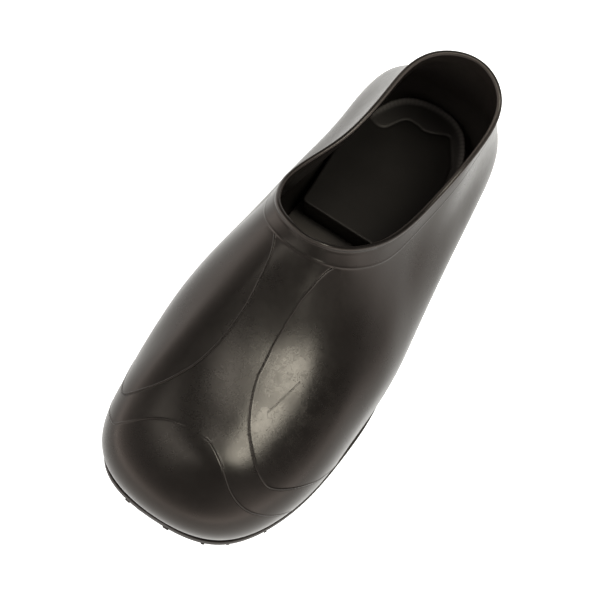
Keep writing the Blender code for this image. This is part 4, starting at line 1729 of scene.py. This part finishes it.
@dataclass(frozen=True)
class Softbox:
    """A large soft light overhead: middle and size in metres, turn in degrees, brightness and colour."""

    name: str
    middle: tuple[float, float, float]
    size: tuple[float, float]
    turn: float
    brightness: float
    colour: Colour

    def light(self) -> bpy.types.Object:
        """Hang the softbox, facing down.

        Returns:
            The light.
        """
        lamp = bpy.data.lights.new(self.name, "AREA")
        lamp.shape = "RECTANGLE"
        lamp.size, lamp.size_y = self.size
        lamp.energy = self.brightness * math.pi * self.size[0] * self.size[1]
        lamp.color = self.colour
        item = bpy.data.objects.new(self.name, lamp)
        item.location = self.middle
        item.rotation_euler = (0.0, 0.0, math.radians(self.turn))
        bpy.context.scene.collection.objects.link(item)
        return item


@dataclass
class Studio:
    """A white sweep with soft light: pale floor, bright horizon, dim dome and softboxes overhead."""

    floor_half: float = 3.0
    floor_tone: Colour = (0.80, 0.79, 0.78)
    floor_fleck: float = 0.97
    floor_grain: float = 3.0
    floor_detail: float = 2.0
    floor_roughness: float = 0.9
    softboxes: tuple[Softbox, ...] = (
        Softbox("main_softbox", (0.36, 0.06, 0.95), (0.34, 0.32), 18.0, 11.6, (0.96, 1.0, 0.92)),
        Softbox("top_softbox", (-0.09, 0.03, 0.95), (0.30, 0.16), 0.0, 5.2, (0.98, 1.0, 0.95)),
        Softbox("front_softbox", (-0.37, -0.46, 0.95), (0.68, 0.14), -37.0, 3.2, (0.98, 1.0, 0.95)),
    )
    floor_glow: float = 0.75
    warm: Colour = (1.0, 0.955, 0.92)
    exposure: float = 0.45
    contrast_gamma: float = 0.87
    warm_range: tuple[float, float] = (20.0, 45.0)
    behind_loss: float = 0.5
    behind_high_loss: float = 0.35
    front_loss: float = 0.3
    behind_range: tuple[float, float] = (-0.4, 0.6)
    high_range: tuple[float, float] = (0.15, 0.4)
    side_range: tuple[float, float] = (0.1, 0.7)
    sky: tuple[tuple[float, float], ...] = (
        (0.0, 3.1), (8.0, 2.0), (16.0, 1.3), (26.0, 0.8), (40.0, 0.45), (50.0, 0.3), (60.0, 0.25),
        (75.0, 0.2), (90.0, 0.2),
    )

    def floor(self) -> bpy.types.Object:
        """Lay the floor, which isn't part of the shoe.

        Returns:
            The floor.
        """
        half = self.floor_half
        mesh = bpy.data.meshes.new("floor")
        corners = [(-half, -half, 0.0), (half, -half, 0.0), (half, half, 0.0), (-half, half, 0.0)]
        mesh.from_pydata(corners, [], [(0, 1, 2, 3)])
        material = bpy.data.materials.new("floor_paper")
        material.use_nodes = True
        graph = Graph(material.node_tree)
        shader = material.node_tree.nodes["Principled BSDF"]
        place = graph.add("ShaderNodeTexCoord").outputs["Object"]
        fibre = graph.noise(place, self.floor_grain, self.floor_detail)
        darker = tuple(self.floor_fleck * tone for tone in self.floor_tone)
        graph.feed(shader.inputs["Base Color"], graph.blend(fibre, (*self.floor_tone, 1.0), (*darker, 1.0)))
        shader.inputs["Roughness"].default_value = self.floor_roughness
        shader.inputs["Emission Color"].default_value = (1.0, 1.0, 1.0, 1.0)
        shader.inputs["Emission Strength"].default_value = self.floor_glow
        mesh.materials.append(material)
        sheet = bpy.data.objects.new("floor", mesh)
        bpy.context.scene.collection.objects.link(sheet)
        return sheet

    def surround(self) -> None:
        """Light the scene from a bright horizon that dims towards the top."""
        world = bpy.data.worlds.new("studio")
        world.use_nodes = True
        bpy.context.scene.world = world
        graph = Graph(world.node_tree)
        toward = graph.add("ShaderNodeTexCoord").outputs["Generated"]
        axes = graph.add("ShaderNodeSeparateXYZ", None, {"Vector": toward}).outputs
        side, back, rise = (Value(graph, axes[name]) for name in "XYZ")
        brightest = max(tone for _, tone in self.sky)
        stops = []
        for height, tone in self.sky:
            share = float(smooth(*self.warm_range, height))
            tint = [warm + (1.0 - warm) * share for warm in self.warm]
            place = 0.5 + 0.5 * math.sin(math.radians(height))
            stops.append((place, tuple(tone / brightest * part for part in tint)))
        ramp: Settings = {"stops": stops}
        colour = graph.add("ShaderNodeValToRGB", ramp, {"Fac": 0.5 + 0.5 * rise}).outputs["Color"]
        high = self.behind_high_loss * rise.step(*self.high_range)
        behind = back.step(*self.behind_range) * (self.behind_loss + high)
        level = (1.0 - behind) * (1.0 - self.front_loss * (1.0 - side.size().step(*self.side_range)))
        backdrop = world.node_tree.nodes["Background"]
        graph.feed(backdrop.inputs["Color"], graph.blend(level, (0.0, 0.0, 0.0, 1.0), colour))
        backdrop.inputs["Strength"].default_value = brightest

    def build(self) -> None:
        """Set up floor, surround and softboxes."""
        self.floor()
        self.surround()
        for softbox in self.softboxes:
            softbox.light()
        view = bpy.context.scene.view_settings
        view.view_transform = "Standard"
        view.exposure = self.exposure
        view.gamma = self.contrast_gamma


@dataclass
class ViewCamera:
    """The camera, at the photograph's angle to the shoe: angles in degrees, places in millimetres."""

    azimuth: float = 13.7
    elevation: float = 63.1
    roll: float = 20.6
    aim: tuple[float, float, float] = (-4.7, -18.5, 45.0)
    distance: float = 838.8
    lens: float = 90.2
    sensor: float = 36.0
    clip_start: float = 10.0

    def build(self) -> bpy.types.Object:
        """Set up the camera and make it the scene's.

        Returns:
            The camera.
        """
        azimuth, elevation = math.radians(self.azimuth), math.radians(self.elevation)
        level = math.cos(elevation)
        back = Vector((math.sin(azimuth) * level, -math.cos(azimuth) * level, math.sin(elevation)))
        right = Vector((math.cos(azimuth), math.sin(azimuth), 0.0))
        turn = Matrix.Rotation(math.radians(self.roll), 3, back)
        right = turn @ right
        up = back.cross(right)
        lens = bpy.data.cameras.new("view_camera")
        lens.lens = self.lens
        lens.sensor_width = self.sensor
        lens.sensor_fit = "HORIZONTAL"
        lens.clip_start = self.clip_start * MM
        camera = bpy.data.objects.new("view_camera", lens)
        place = Vector(self.aim) + back * self.distance
        axes = Matrix((right, up, back)).transposed().to_4x4()
        camera.matrix_world = Matrix.Translation(place * MM) @ axes
        bpy.context.scene.collection.objects.link(camera)
        bpy.context.scene.camera = camera
        return camera


def main() -> None:
    """Build and dress the overshoe, light it and place the camera."""
    logging.basicConfig(level=logging.INFO, format="%(name)s: %(message)s")
    form = ShoeForm()
    UpperShell(form).dress()
    Outsole(form).dress()
    HeelPad().dress()
    HeelStrip(form).dress()
    Studio().build()
    ViewCamera().build()


if __name__ == "__main__":
    main()
